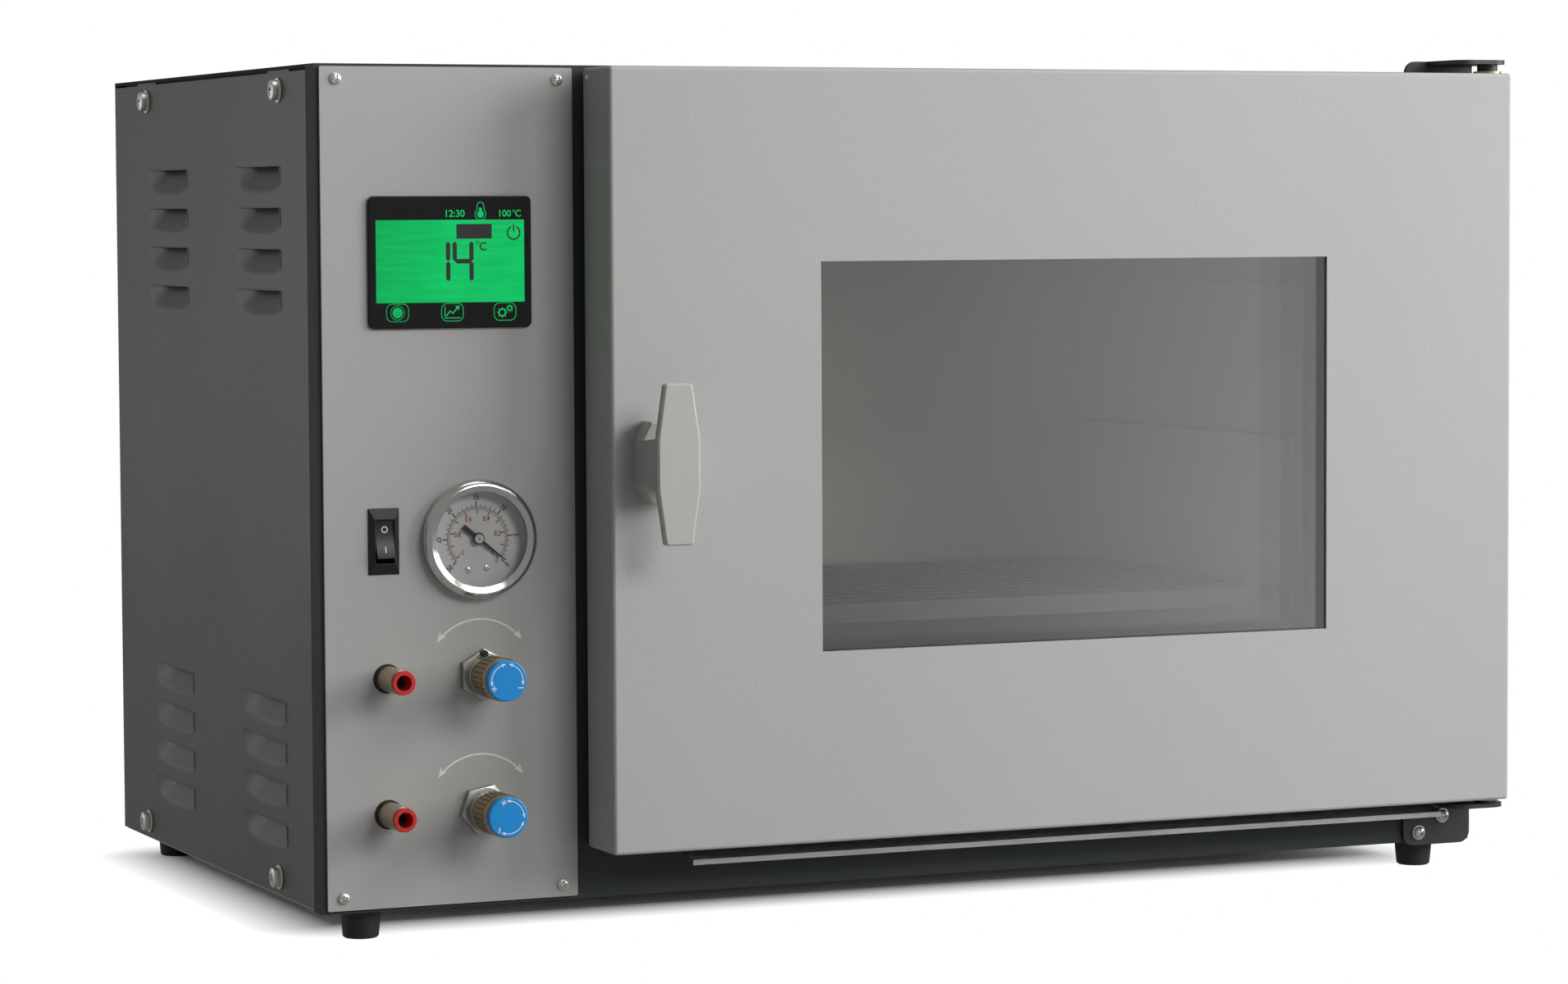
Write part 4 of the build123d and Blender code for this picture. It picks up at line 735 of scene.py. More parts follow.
class Drawing:
    """Thin flat shapes, in millimetres on a local XY plane, that stand a little out of it."""

    narrowest = 0.35

    def __init__(self, name: str, thick: float = 0.06) -> None:
        """Starts an empty drawing.

        Args:
            name: the object's name.
            thick: height of the print in millimetres.
        """
        self.piece = Piece(name)
        self.thick = thick

    def shape(self, outline: Sequence[Flat], place: Matrix | None = None) -> None:
        """Adds a filled outline."""
        count = len(outline)
        points = [(x * MM, y * MM, 0.0) for x, y in outline]
        points += [(x * MM, y * MM, self.thick * MM) for x, y in outline]
        faces = [tuple(range(count, 2 * count)), tuple(reversed(range(count)))]
        faces += [(k, (k + 1) % count, count + (k + 1) % count, count + k) for k in range(count)]
        self.piece.add(points, faces, place)

    def bar(self, half_x: float, half_y: float, place: Matrix) -> None:
        """Adds a filled rectangle about the origin."""
        self.shape([(-half_x, -half_y), (half_x, -half_y), (half_x, half_y), (-half_x, half_y)], place)

    def line(self, track: Sequence[Flat], width: float, place: Matrix | None = None,
             closed: bool = False) -> None:
        """Adds a stroke of even width along a track of points."""
        count = len(track)
        sides: list[tuple[Vector, Vector]] = []
        for k, (x, y) in enumerate(track):
            before = Vector(track[k - 1] if k or closed else track[k])
            after = Vector(track[(k + 1) % count] if k < count - 1 or closed else track[k])
            back, ahead = Vector((x, y)) - before, after - Vector((x, y))
            along = (back.normalized() if back.length else ahead.normalized()) + (
                ahead.normalized() if ahead.length else back.normalized())
            along.normalize()
            across = Vector((-along.y, along.x))
            lead = ahead.normalized() if ahead.length else back.normalized()
            share = max(self.narrowest, abs(across.dot(Vector((-lead.y, lead.x)))))
            half = across * (width / 2 / share)
            sides.append((Vector((x, y)) + half, Vector((x, y)) - half))
        rows = []
        for one, two in sides + (sides[:1] if closed else []):
            rows.append([(one.x * MM, one.y * MM, 0.0), (one.x * MM, one.y * MM, self.thick * MM),
                         (two.x * MM, two.y * MM, self.thick * MM), (two.x * MM, two.y * MM, 0.0)])
        self.piece.strip(rows, True, place)
        if not closed:
            self.piece.add(rows[0], [(0, 1, 2, 3)], place)
            self.piece.add(rows[-1], [(3, 2, 1, 0)], place)

    def arc(self, radius: float, start: float, end: float, width: float, place: Matrix | None = None,
            steps: int = 48) -> None:
        """Adds a stroke along an arc about the origin, with angles in degrees."""
        self.line(arc_points(radius, start, end, steps), width, place)

    def ring(self, radius: float, width: float, place: Matrix | None = None, steps: int = 40) -> None:
        """Adds a closed ring about the origin."""
        self.line(circle_points(radius, steps), width, place, True)

    def arrowhead(self, outline: Sequence[Flat], radius: float, angle: float, sense: int,
                  place: Matrix) -> None:
        """Adds an arrowhead on an arc about the origin.

        Args:
            outline: the head at the end of a stroke that comes up the plane.
            radius: the arc's radius.
            angle: where on the arc, in degrees.
            sense: 1 or -1 to turn the head round.
            place: transform from the local plane.
        """
        tip = turn_about("Z", angle) @ Matrix.Translation((radius * MM, 0, 0))
        self.shape([(x, y * sense) for x, y in outline][::sense], place @ tip @ ABOVE)

    def words(self, text: str, size: float, place: Matrix, bold: float = 0.0) -> None:
        """Adds plain numerals or signs, centred on the place.

        Args:
            text: what to write.
            size: nominal letter size in millimetres.
            place: transform from the local plane.
            bold: how much the strokes are thickened, in millimetres.
        """
        curve = bpy.data.curves.new("numeral", "FONT")
        curve.body = text
        curve.size = size
        curve.align_x = "CENTER"
        curve.align_y = "CENTER"
        curve.offset = bold
        curve.extrude = self.thick / 2
        holder = bpy.data.objects.new("numeral", curve)
        graph = bpy.context.evaluated_depsgraph_get()
        mesh = bpy.data.meshes.new_from_object(holder.evaluated_get(graph))
        points = [(v.co.x * MM, v.co.y * MM, (v.co.z + self.thick / 2) * MM) for v in mesh.vertices]
        self.piece.add(points, [tuple(p.vertices) for p in mesh.polygons], place)
        bpy.data.objects.remove(holder)
        bpy.data.curves.remove(curve)
        bpy.data.meshes.remove(mesh)


# ---------------------------------------------------------------- side covers
@dataclass(frozen=True)
class LouvreSizes:
    """Form and places of the louvres, in millimetres.

    Attributes:
        length: along the cover.
        height: from the slot down to where the floor meets the face.
        depth: how deep the floor lies at the slot.
        end_slope: length of the sloping rear end at the slot.
        end_ease: how much steeper the rear end gets towards the floor.
        end_ease_from: share of the rear end's length at which that starts.
        front_slope: length of the steep front end.
        soften: radius that rounds the folds.
        flatten: how softly the floor runs out into the face.
        corner: radius of the lower corners.
        rim: how far the fold round the front end stands out.
        rim_place: how far outside the louvre's edge that fold lies.
        front_inset: from the cover's front edge to the first column.
        column_pitch: between the two columns.
        top_inset: from the cover's top to the highest slot.
        bottom_inset: from the cover's bottom to the lowest slot.
        pitch: between rows.
        rows: rows in each of the four groups.
    """

    length: float = 83.0
    height: float = 14.0
    depth: float = 5.5
    end_slope: float = 24.0
    end_ease: float = 0.04
    end_ease_from: float = 0.8
    front_slope: float = 7.0
    soften: float = 3.0
    flatten: float = 0.12
    corner: float = 6.0
    rim: float = 0.8
    rim_place: float = 0.7
    front_inset: float = 48.0
    column_pitch: float = 183.0
    top_inset: float = 53.0
    bottom_inset: float = 40.5
    pitch: float = 23.0
    rows: int = 4


@dataclass(frozen=True)
class SideCover:
    """A side cover with pressed louvres, whose folds are rounded and whose slots are open.

    Attributes:
        node: the CAD node.
        side: -1 for the left cover, 1 for the right.
        louvres: the louvres' sizes.
        margin: width of the fine mesh round a louvre, in millimetres as all that follow.
        lip_rise: how far above the slot that mesh reaches.
        sheet: thickness of the sheet.
        tab: height of the tabs at the top edge.
        tab_half: half the length of a tab.
        tab_places: middles of the tabs, from the cover's front edge.
        flange: how far the rear flange reaches in.
        flange_insets: from the cover's bottom and top to the flange's ends.
        samples: fine steps along a louvre.
        front_samples: further steps over the first front_run of it.
        front_run: length of the stretch with further steps.
        downs: fine steps down a louvre.
        crowding: power that sets those steps closer near the slot.
        lip: (deep, up) points of the lip over the slot, from the face inwards.
    """

    node: str
    side: int
    louvres: LouvreSizes = LouvreSizes()
    margin: float = 5.0
    lip_rise: float = 2.0
    sheet: float = 1.5
    tab: float = 1.2
    tab_half: float = 20.0
    tab_places: Flat = (49.1, 316.1)
    flange: float = 17.5
    flange_insets: Flat = (29.0, 30.0)
    samples: int = 84
    front_samples: int = 40
    front_run: float = 16.0
    downs: int = 26
    crowding: float = 1.1
    lip: tuple[Flat, ...] = ((0.0, 0.5), (0.15, 0.15), (0.5, 0.0))

    def corner(self, which: int) -> Vector:
        """Returns the lowest (0) or highest (1) corner of the CAD cover, in millimetres."""
        return Vector(box_of(self.node)[which]) / MM

    def louvre_depth(self, along: float, down: float) -> float:
        """Returns how deep the face lies at a place in a louvre.

        Args:
            along: distance from the louvre's middle.
            down: distance below the slot.
        """
        size = self.louvres
        half = size.length / 2
        ramp = size.depth * (1 - down / size.height)
        aside, below = abs(along) - half + size.corner, max(0.0, down - size.height + size.corner)
        outside = math.hypot(max(aside, 0.0), below) + min(aside, 0.0) - size.corner
        if along > 0:
            rest = half - along
            end = size.depth * rest / size.end_slope
            end += size.end_ease * max(0.0, rest - size.end_ease_from * size.end_slope) ** 2
        else:
            end = -size.depth * outside / size.front_slope
        gap = ramp - end
        floor = (ramp + end - math.sqrt(gap * gap + size.soften ** 2)) / 2
        raised = (floor + math.sqrt(floor * floor + size.flatten)) / 2
        over = max(abs(along) - half, down - size.height)
        fade = 1.0 if over < 0 else max(0.0, 1 - over / (self.margin - 1))
        share = (1 - min(1.0, below / size.corner)) if along < 0 else 0.0
        rim = size.rim * share * math.exp(-(outside - size.rim_place) ** 2)
        return max(0.0, raised * fade) - rim

    def places(self) -> list[Flat]:
        """Returns the middle (y, z) of each slot."""
        size, low, high = self.louvres, self.corner(0), self.corner(1)
        found = []
        for column in range(2):
            y = low.y + size.front_inset + size.length / 2 + column * size.column_pitch
            for row in range(size.rows):
                found.append((y, high.z - size.top_inset - row * size.pitch))
                found.append((y, low.z + size.bottom_inset + row * size.pitch))
        return found

    def row(self, spots: Sequence[Point]) -> list[Point]:
        """Turns (deep, y, z) spots, in millimetres behind the cover's face, into points."""
        face = self.corner(0 if self.side < 0 else 1).x
        return [((face - self.side * deep) * MM, y * MM, z * MM) for deep, y, z in spots]

    def louvre(self, piece: Piece, y: float, z: float) -> None:
        """Adds one louvre with its lip above the slot."""
        size = self.louvres
        half, first = size.length / 2 + self.margin, self.front_run / self.front_samples
        alongs = sorted({-half + 2 * half * k / self.samples for k in range(self.samples + 1)}
                        | {-half + first * k for k in range(self.front_samples + 1)})
        downs = [(size.height + self.margin) * (k / self.downs) ** self.crowding
                 for k in range(self.downs + 1)]
        for sheet in (0.0, self.sheet):
            piece.strip([self.row([(self.louvre_depth(s, t) + sheet, y + s, z - t) for s in alongs])
                         for t in downs])
        inside = [s for s in alongs if abs(s) <= size.length / 2]
        piece.strip([self.row([(self.louvre_depth(s, 0) + sheet, y + s, z) for s in inside])
                     for sheet in (0.0, self.sheet)])
        ends = [(-half, 0.0), (inside[0], 0.0), *((s, 1.0) for s in inside[1:-1]),
                (inside[-1], 0.0), (half, 0.0)]
        rows = [self.row([(0.0, y + s, z + self.lip_rise) for s, _ in ends])]
        rows += [self.row([(deep * share, y + s, z + up * share) for s, share in ends])
                 for deep, up in self.lip]
        piece.strip(rows)

    def flat_patch(self, piece: Piece, deep: float, y_span: Flat, z_span: Flat) -> None:
        """Adds a rectangle of one face of the sheet."""
        (y0, y1), (z0, z1) = y_span, z_span
        piece.add(self.row([(deep, y0, z0), (deep, y1, z0), (deep, y1, z1), (deep, y0, z1)]), [(0, 1, 2, 3)])

    def build(self) -> None:
        """Makes the cover."""
        piece = Piece(self.node + "_louvred")
        size, low, high = self.louvres, self.corner(0), self.corner(1)
        half, top = size.length / 2 + self.margin, high.z - self.tab
        holes = [(y - half, y + half, z - size.height - self.margin, z + self.lip_rise)
                 for y, z in self.places()]
        ys = sorted({low.y, high.y} | {edge for hole in holes for edge in hole[:2]})
        zs = sorted({low.z, top} | {edge for hole in holes for edge in hole[2:]})
        for deep in (0.0, self.sheet):
            for y_span in zip(ys, ys[1:]):
                for z_span in zip(zs, zs[1:]):
                    y, z = sum(y_span) / 2, sum(z_span) / 2
                    if not any(h[0] < y < h[1] and h[2] < z < h[3] for h in holes):
                        self.flat_patch(piece, deep, y_span, z_span)
        edge = [(low.y, low.z), (high.y, low.z), (high.y, top)]
        for place in reversed(self.tab_places):
            front, back = low.y + place - self.tab_half, low.y + place + self.tab_half
            edge += [(back, top), (back, high.z), (front, high.z), (front, top)]
            for deep in (0.0, self.sheet):
                self.flat_patch(piece, deep, (front, back), (top, high.z))
        edge += [(low.y, top), (low.y, low.z)]
        piece.strip([self.row([(deep, y, z) for y, z in edge]) for deep in (0.0, self.sheet)])
        inner = high.y - self.sheet
        flange = [(self.sheet, high.y), (self.flange, high.y), (self.flange, inner), (self.sheet, inner)]
        piece.strip([self.row([(deep, y, z) for deep, y in flange])
                     for z in (low.z + self.flange_insets[0], high.z - self.flange_insets[1])], True)
        for y, z in self.places():
            self.louvre(piece, y, z)
        piece.settled(Finish.COVER, self.node, "cabinet", 35.0, self.node)


# ---------------------------------------------------------------- screws
@dataclass(frozen=True)
class CrossScrew:
    """A screw with a cross pressed into its head, in millimetres.

    Attributes:
        radius: of the head.
        rise: height of the head, 0 for a flush one.
        dome: how much of that is a dome.
        recess: length of the cross across the head.
        slit: width of the cross's arms.
        deep: depth of the cross.
        washer: radius of the washer, or 0.
        washer_rise: thickness of the washer.
        shank: radius of the shank.
        length: how far the shank reaches behind the plane.
        round_over: width of the head's rounded edge.
        fold: width over which the cross's walls fall.
        taper: share of the cross's length over which its ends rise.
        steps: flats round the head.
        rings: rings of the mesh from the edge to the middle.
    """

    radius: float
    rise: float
    dome: float
    recess: float
    slit: float
    deep: float
    washer: float = 0.0
    washer_rise: float = 0.0
    shank: float = 1.5
    length: float = 7.0
    round_over: float = 0.25
    fold: float = 0.18
    taper: float = 0.35
    steps: int = 96
    rings: int = 26

    def height(self, x: float, y: float) -> float:
        """Returns the head's height at a place on it."""
        top = self.washer_rise + self.rise
        if self.dome:
            curve = (self.radius ** 2 + self.dome ** 2) / (2 * self.dome)
            top += math.sqrt(max(0.0, curve ** 2 - x * x - y * y)) - curve
        across = (self.slit / 2 - min(abs(x), abs(y))) / self.fold + 0.5
        along = (self.recess / 2 - max(abs(x), abs(y))) / (self.taper * self.recess)
        across, along = (max(0.0, min(1.0, share)) for share in (across, along))
        return top - self.deep * across * min(1.0, 1.6 * along)

    def add_to(self, piece: Piece, place: Matrix) -> None:
        """Adds a screw that stands on the local XY plane.

        Args:
            piece: the piece it joins.
            place: its transform, in metres.
        """
        base, edge = self.washer_rise, self.washer_rise + self.rise - self.dome
        levels = [(self.shank, -self.length)]
        if self.rise:
            levels += [(self.shank, base), (self.radius, base), (self.radius, edge - self.round_over),
                       (self.radius - 0.08, edge - 0.05)]
        else:
            levels.append((self.shank, self.shank - self.radius))
        rows = [[(x, y, height * MM) for x, y in circle_points(radius * MM, self.steps)]
                for radius, height in levels]
        widest = self.radius - (self.round_over if self.rise else 0.0)
        for ring in range(self.rings + 1):
            rows.append([(x * MM, y * MM, self.height(x, y) * MM)
                         for x, y in circle_points(widest * (1 - ring / self.rings), self.steps)])
        piece.strip(rows, True, place)
        if self.washer:
            rim, hole = self.washer, self.radius * 0.5
            piece.turned([(hole, 0.0), (rim - 0.2, 0.0), (rim, 0.2), (rim, base - 0.25), (rim - 0.25, base),
                          (hole, base)], 48, place)


def solids_of(node: str) -> list[tuple[Vector, Vector]]:
    """Returns the box of each separate solid of a CAD node, in millimetres."""
    work = bmesh.new()
    work.from_mesh(frame["nodes"][node].data)
    work.transform(frame["nodes"][node].matrix_world)
    bmesh.ops.remove_doubles(work, verts=work.verts, dist=SAME_POINT)
    left, boxes = set(work.verts), []
    while left:
        stack, found = [left.pop()], []
        while stack:
            vert = stack.pop()
            found.append(vert.co / MM)
            near = {edge.other_vert(vert) for edge in vert.link_edges} & left
            left -= near
            stack += near
        boxes.append((Vector(map(min, zip(*found))), Vector(map(max, zip(*found)))))
    work.free()
    return sorted(boxes, key=lambda box: tuple(round(value, 1) for value in box[0]))


@dataclass(frozen=True)
class Fastened:
    """The screws of one CAD node, with the plane each stands on read from its solids.

    Attributes:
        node: the CAD node.
        screw: the kind of screw.
        reach: how far a head stands out of its plane, in millimetres.
        shortest: length of the smallest solid that is a screw and not its washer.
        spins: turn of the first cross, and how much more each next one is turned.
    """

    node: str
    screw: CrossScrew
    reach: float
    shortest: float = 3.0
    spins: Flat = (17.0, 41.0)

    def add_to(self, piece: Piece, wanted: Callable[[Vector, Vector], bool] = lambda low, high: True) -> None:
        """Adds every screw whose box is wanted, each turned a little differently."""
        count = 0
        for low, high in solids_of(self.node):
            size, middle = high - low, (low + high) / 2
            axis = "x" if abs(size.y - size.z) < abs(size.x - size.z) else "y"
            if getattr(size, axis) < self.shortest or not wanted(low, high):
                continue
            sense = 1 if getattr(middle, axis) > 0 else -1
            setattr(middle, axis, getattr(high if sense > 0 else low, axis) - sense * self.reach)
            stand = turn_about("Y", 90 * sense) if axis == "x" else turn_about("X", -90 * sense)
            spin = turn_about("Z", self.spins[0] + self.spins[1] * count)
            self.screw.add_to(piece, Matrix.Translation(middle * MM) @ stand @ spin)
            count += 1

    def build(self) -> None:
        """Makes the screws."""
        piece = Piece(self.node + "_crossed")
        self.add_to(piece)
        piece.settled(Finish.ZINC, self.node, "cabinet", 30.0, self.node)


def hinge_screws() -> None:
    """Makes the hinges' screws: pan heads on washers below, flush heads above."""
    node = "hinge_screws"
    piece, middle = Piece(node + "_crossed"), middle_of(node).z / MM
    Fastened(node, CrossScrew(3.5, 2.6, 1.4, 4.6, 1.1, 1.3, 4.5, 1.0), 3.6).add_to(
        piece, lambda low, high: high.z < middle)
    Fastened(node, CrossScrew(3.5, 0.0, 0.0, 4.6, 1.1, 1.3), 0.0).add_to(
        piece, lambda low, high: low.z > middle)
    piece.settled(Finish.ZINC, node, "cabinet", 30.0, node)


# ---------------------------------------------------------------- gauge
@dataclass(frozen=True)
class Scale:
    """One scale of a dial, in millimetres and degrees.

    Attributes:
        finish: its ink.
        radius: of its circle.
        sweep: from first to last tick.
        ticks: how many ticks.
        short: length of a short tick, inward if negative.
        long: length of a long tick, inward if negative.
        line: width of the circle.
        numbers: one for each long tick.
        numbers_radius: of their middles.
        numbers_size: their letter size.
        turned: whether they turn with the circle.
        start: angle of the first tick, anticlockwise from the right.
        major: every how many ticks a long one stands.
        thin: width of a short tick.
        bold: width of a long tick.
    """

    finish: Finish
    radius: float
    sweep: float
    ticks: int
    short: float
    long: float
    line: float
    numbers: tuple[str, ...]
    numbers_radius: float
    numbers_size: float
    turned: bool
    start: float = -41.0
    major: int = 5
    thin: float = 0.28
    bold: float = 0.6


@dataclass(frozen=True)
class GaugeFace:
    """Printed scales, numerals and small screws of the vacuum gauge.

    Attributes:
        bench: the facia's places.
        repeater: makes the rings of ticks.
        sunk: how far behind the facia's front the print lies, in millimetres.
        black: the outer scale.
        red: the inner scale.
        screw: the dial's screws.
        screw_places: across, up and turn of each of them from the dial's middle.
        boss: (radius, height) profile of the needle's boss.
        narrow: width of a numeral as a share of the letter's own.
        stroke: how much the numerals' strokes are thickened.
    """

    bench: Bench
    repeater: Repeater
    sunk: float = 0.48
    black: Scale = Scale(Finish.INK, 17.5, 266.0, 31, 1.8, 3.0, 0.32,
                         ("0", "5", "10", "15", "20", "25", "30"), 22.6, 4.4, True)
    red: Scale = Scale(Finish.INK_RED, 16.6, 262.0, 51, -1.2, -2.8, 0.26,
                       ("0", "0.2", "0.4", "0.6", "0.8", "-1"), 11.9, 4.0, False)
    screw: CrossScrew = CrossScrew(1.9, 0.9, 0.5, 2.6, 0.5, 0.5, shank=0.8, length=0.5)
    screw_places: tuple[Point, ...] = ((-5.6, -17.2, 30.0), (5.1, -16.4, 65.0))
    boss: tuple[Flat, ...] = ((2.6, -0.1), (2.6, 0.55), (2.4, 0.75), (0.5, 0.75), (0.45, 0.5), (0.0, 0.5))
    narrow: float = 0.8
    stroke: float = 0.07

    def spot(self, across: float = 0.0, up: float = 0.0) -> Vector:
        """Returns a place on the dial, in millimetres from its middle."""
        middle = middle_of("gauge_dial")
        return Vector((middle.x + across * MM, self.bench.front + self.sunk * MM, middle.z + up * MM))

    def print_scale(self, name: str, scale: Scale) -> None:
        """Makes a scale's circle, ticks and numerals.

        Args:
            name: the print's name.
            scale: the scale.
        """
        drawing, place = Drawing(name), facing_front(self.spot())
        drawing.arc(scale.radius, scale.start, scale.start + scale.sweep, scale.line, place, 120)
        gaps = scale.ticks - 1
        for count, length, width in ((gaps, scale.short, scale.thin),
                                     (gaps // scale.major, scale.long, scale.bold)):
            tick = Drawing("tick")
            near, far = sorted((scale.radius, scale.radius + length))
            tick.shape([(near, -width / 2), (far, -width / 2), (far, width / 2), (near, width / 2)])
            ring = self.repeater.ring(tick.piece.made(scale.finish), count + 1, scale.start,
                                      scale.sweep / count, scale.finish)
            drawing.piece.add(*ring, place)
        for k, number in enumerate(scale.numbers):
            angle = scale.start + scale.sweep * k / (len(scale.numbers) - 1)
            stand = facing_front(self.spot(*polar(scale.numbers_radius, angle)),
                                 angle - 90 if scale.turned else 0.0)
            drawing.words(number, scale.numbers_size,
                          stand @ Matrix.Diagonal((self.narrow, 1.0, 1.0, 1.0)), self.stroke)
        drawing.piece.settled(scale.finish, "gauge_needle", "cabinet")

    def build(self) -> None:
        """Makes the print, the dial's screws and the needle's boss."""
        self.print_scale("gauge_print_black", self.black)
        self.print_scale("gauge_print_red", self.red)
        screws = Piece("gauge_dial_screws")
        for across, up, spin in self.screw_places:
            self.screw.add_to(screws, facing_front(self.spot(across, up), spin))
        screws.settled(Finish.STEEL, "valve_nuts", "cabinet", 30.0)
        boss, hub = Piece("gauge_needle_boss"), self.spot()
        hub.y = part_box("gauge_needle")[0].y + 0.6 * MM
        boss.turned(self.boss, 40, facing_front(hub))
        boss.settled(Finish.ZINC, "valve_nuts", "needle", 30.0)


# ---------------------------------------------------------------- display
@dataclass(frozen=True)
class DisplayFace:
    """Reading and icons of the display, as plain generic shapes, in millimetres.

    Attributes:
        bench: the facia's places.
        wide: width of a figure, between the middles of its bars.
        tall: height of half a figure.
        bar: half the width of a bar.
        figures_up: height of the figures' middles on the facia.
        keys: places across the facia of the three keys in the lower border.
        keys_up: their height on the facia.
        line_up: height of the line of small signs in the upper border.
        raised: how far a print lies in front of what carries it.
        stroke: how much the small signs' strokes are thickened.
    """

    bench: Bench
    wide: float = 9.7
    tall: float = 10.9
    bar: float = 1.25
    figures_up: float = 354.0
    keys: Point = (42.4, 74.0, 104.5)
    keys_up: float = 326.2
    line_up: float = 379.9
    raised: float = 0.01
    stroke: float = 0.07

    def on(self, node: str, across: float, up: float) -> Matrix:
        """Returns a place on the front of a CAD node."""
        out = (self.bench.front - box_of(node)[0].y) / MM
        return facing_front(self.bench.at(across, up, out + self.raised))

    def on_screen(self, across: float, up: float) -> Matrix:
        """Returns a place on the lit screen."""
        return self.on("display_screen", across, up)

    def on_border(self, across: float, up: float) -> Matrix:
        """Returns a place on the dark border."""
        return self.on("display_bezel", across, up)

    def figure(self, drawing: Drawing, bars: str, across: float) -> None:
        """Adds one seven-segment figure.

        Args:
            drawing: the print it joins.
            bars: which bars are lit: b and c on the right, f upper left, g in the middle.
            across: its middle.
        """
        place = self.on_screen(across, self.figures_up)
        spots = {"g": (0, 0, self.wide, False), "b": (self.wide / 2, self.tall / 2, self.tall, True),
                 "c": (self.wide / 2, -self.tall / 2, self.tall, True),
                 "f": (-self.wide / 2, self.tall / 2, self.tall, True)}
        for x, y, length, upright in (spots[bar] for bar in bars):
            half, thick = length / 2, self.bar
            outline = [(-half, 0), (-half + thick, thick), (half - thick, thick), (half, 0),
                       (half - thick, -thick), (-half + thick, -thick)]
            if upright:
                outline = [(-b, a) for a, b in outline]
            drawing.shape([(x + a, y + b) for a, b in outline], place)

    def reading(self) -> None:
        """Makes the dark reading on the lit screen, with its box and its power sign."""
        dark = Drawing("display_reading", 0.08)
        self.figure(dark, "bc", 67.2)
        self.figure(dark, "bcfg", 80.7)
        dark.ring(0.85, 0.4, self.on_screen(89.1, 364.0))
        dark.words("C", 6.4, self.on_screen(92.3, 361.8), 0.1)
        dark.shape(soft_box(20.5, 8.0, 0.3), self.on_screen(87.2, 370.3))
        power = self.on_screen(110.2, 369.4)
        dark.line(arc_points(3.6, 115, 425, 31), 0.8, power)
        dark.line([(0, 0.8), (0, 4.6)], 0.8, power)
        dark.piece.settled(Finish.INK, "display_bezel", "cabinet")

    def icons(self) -> None:
        """Makes the lit signs in the dark border: three keys, a bulb thermometer and small numbers."""
        lit = Drawing("display_icons", 0.05)
        sun, chart, cogs = (self.on_border(across, self.keys_up) for across in self.keys)
        for key in (sun, chart, cogs):
            lit.line(soft_box(12.6, 9.6, 3.2), 0.35, key, True)
        lit.ring(3.9, 0.3, sun)
        lit.shape(circle_points(2.9), sun)
        lit.line([(-4.3, 3.4), (-4.3, -3.1), (4.6, -3.1)], 0.45, chart)
        lit.line([(-3.6, -2.0), (-1.4, 0.6), (0.2, -0.6), (3.0, 2.6)], 0.6, chart)
        lit.shape([(4.1, 3.6), (1.6, 3.2), (3.7, 1.1)], chart)
        for x, y, radius in ((-1.6, -0.5, 1.9), (2.8, 1.8, 1.1)):
            cog = cogs @ Matrix.Translation((x * MM, y * MM, 0.0))
            lit.ring(radius, 0.75 * radius / 1.9, cog)
            root, tip = radius + 0.1, radius + 0.95
            for k in range(8):
                lit.shape([(root, -0.3), (tip, -0.25), (tip, 0.25), (root, 0.3)],
                          cog @ turn_about("Z", 45 * k))
        bulb = self.on_border(90.7, 379.6)
        stem = [(1.9, 5.0), (1.4, 6.2), (0.0, 6.7), (-1.4, 6.2), (-1.9, 5.0)]
        lit.line(arc_points(3.1, 128, 404, 23) + stem, 0.4, bulb, True)
        lit.shape(circle_points(1.9), bulb)
        lit.shape([(-0.8, 1.0), (0.8, 1.0), (0.8, 3.6), (-0.8, 3.6)], bulb)
        lit.words("12:30", 5.4, self.on_border(75.6, self.line_up), self.stroke)
        lit.words("100", 5.2, self.on_border(104.6, self.line_up), self.stroke)
        lit.ring(0.6, 0.25, self.on_border(110.0, 381.3))
        lit.words("C", 5.2, self.on_border(112.6, self.line_up), self.stroke)
        lit.piece.settled(Finish.GREEN, "display_screen", "cabinet")

    def build(self) -> None:
        """Makes the reading and the icons."""
        self.reading()
        self.icons()


# ---------------------------------------------------------------- facia print, rocker, valves
@dataclass(frozen=True)
class FaciaPrint:
    """Turning arcs over the valves, and black rings of painted shade round the port holes, in millimetres.

    Attributes:
        bench: the facia's places.
        arc_across: the arcs' middle across the facia.
        arcs_up: height of each arc's middle.
        radius: the arcs' radius.
        line: width of their stroke.
        span: angles at which the strokes start and end.
        tips: angle and sense of the two arrowheads.
        head: outline of an arrowhead.
        port_radius: radius of a port's body.
        shade_ring_shift: how far the painted shade ring lies to the left of the port's body.
        shade_ring_width: width of the painted shade ring, which stands for the shadowed gap in the hole.
    """

    bench: Bench
    arc_across: float = 88.8
    arcs_up: Flat = (125.8, 51.1)
    radius: float = 31.2
    line: float = 0.95
    span: Flat = (45.0, 135.0)
    tips: tuple[tuple[float, int], ...] = ((37.5, -1), (142.5, 1))
    head: tuple[Flat, ...] = ((0.1, 0.0), (2.1, -5.8), (0.0, -4.2), (-2.1, -5.8))
    port_radius: float = 7.0
    shade_ring_shift: float = 0.5
    shade_ring_width: float = 1.1

    def build(self) -> None:
        """Makes the arcs with their arrowheads, and the painted shade rings round the port holes."""
        arcs = Drawing("facia_turn_arcs", 0.04)
        for up in self.arcs_up:
            place = facing_front(self.bench.at(self.arc_across, up, 0.01))
            arcs.arc(self.radius, *self.span, self.line, place)
            for angle, sense in self.tips:
                arcs.arrowhead(self.head, self.radius, angle, sense, place)
        arcs.piece.settled(Finish.CREAM, "facia_panel", "cabinet")
        # Painted shade: a black ring a little left of each port stands for the shadowed gap between the hole
        # and the fitting.
        edges = Drawing("port_hole_edges", 0.04)
        for low, high in solids_of("port_fittings"):
            middle = (low + high) / 2 * MM
            spot = Vector((middle.x - self.shade_ring_shift * MM, self.bench.front - 0.01 * MM, middle.z))
            edges.ring(self.port_radius + self.shade_ring_width / 2, self.shade_ring_width, facing_front(spot), 56)
        edges.piece.settled(Finish.INK, "switch_housing", "cabinet")


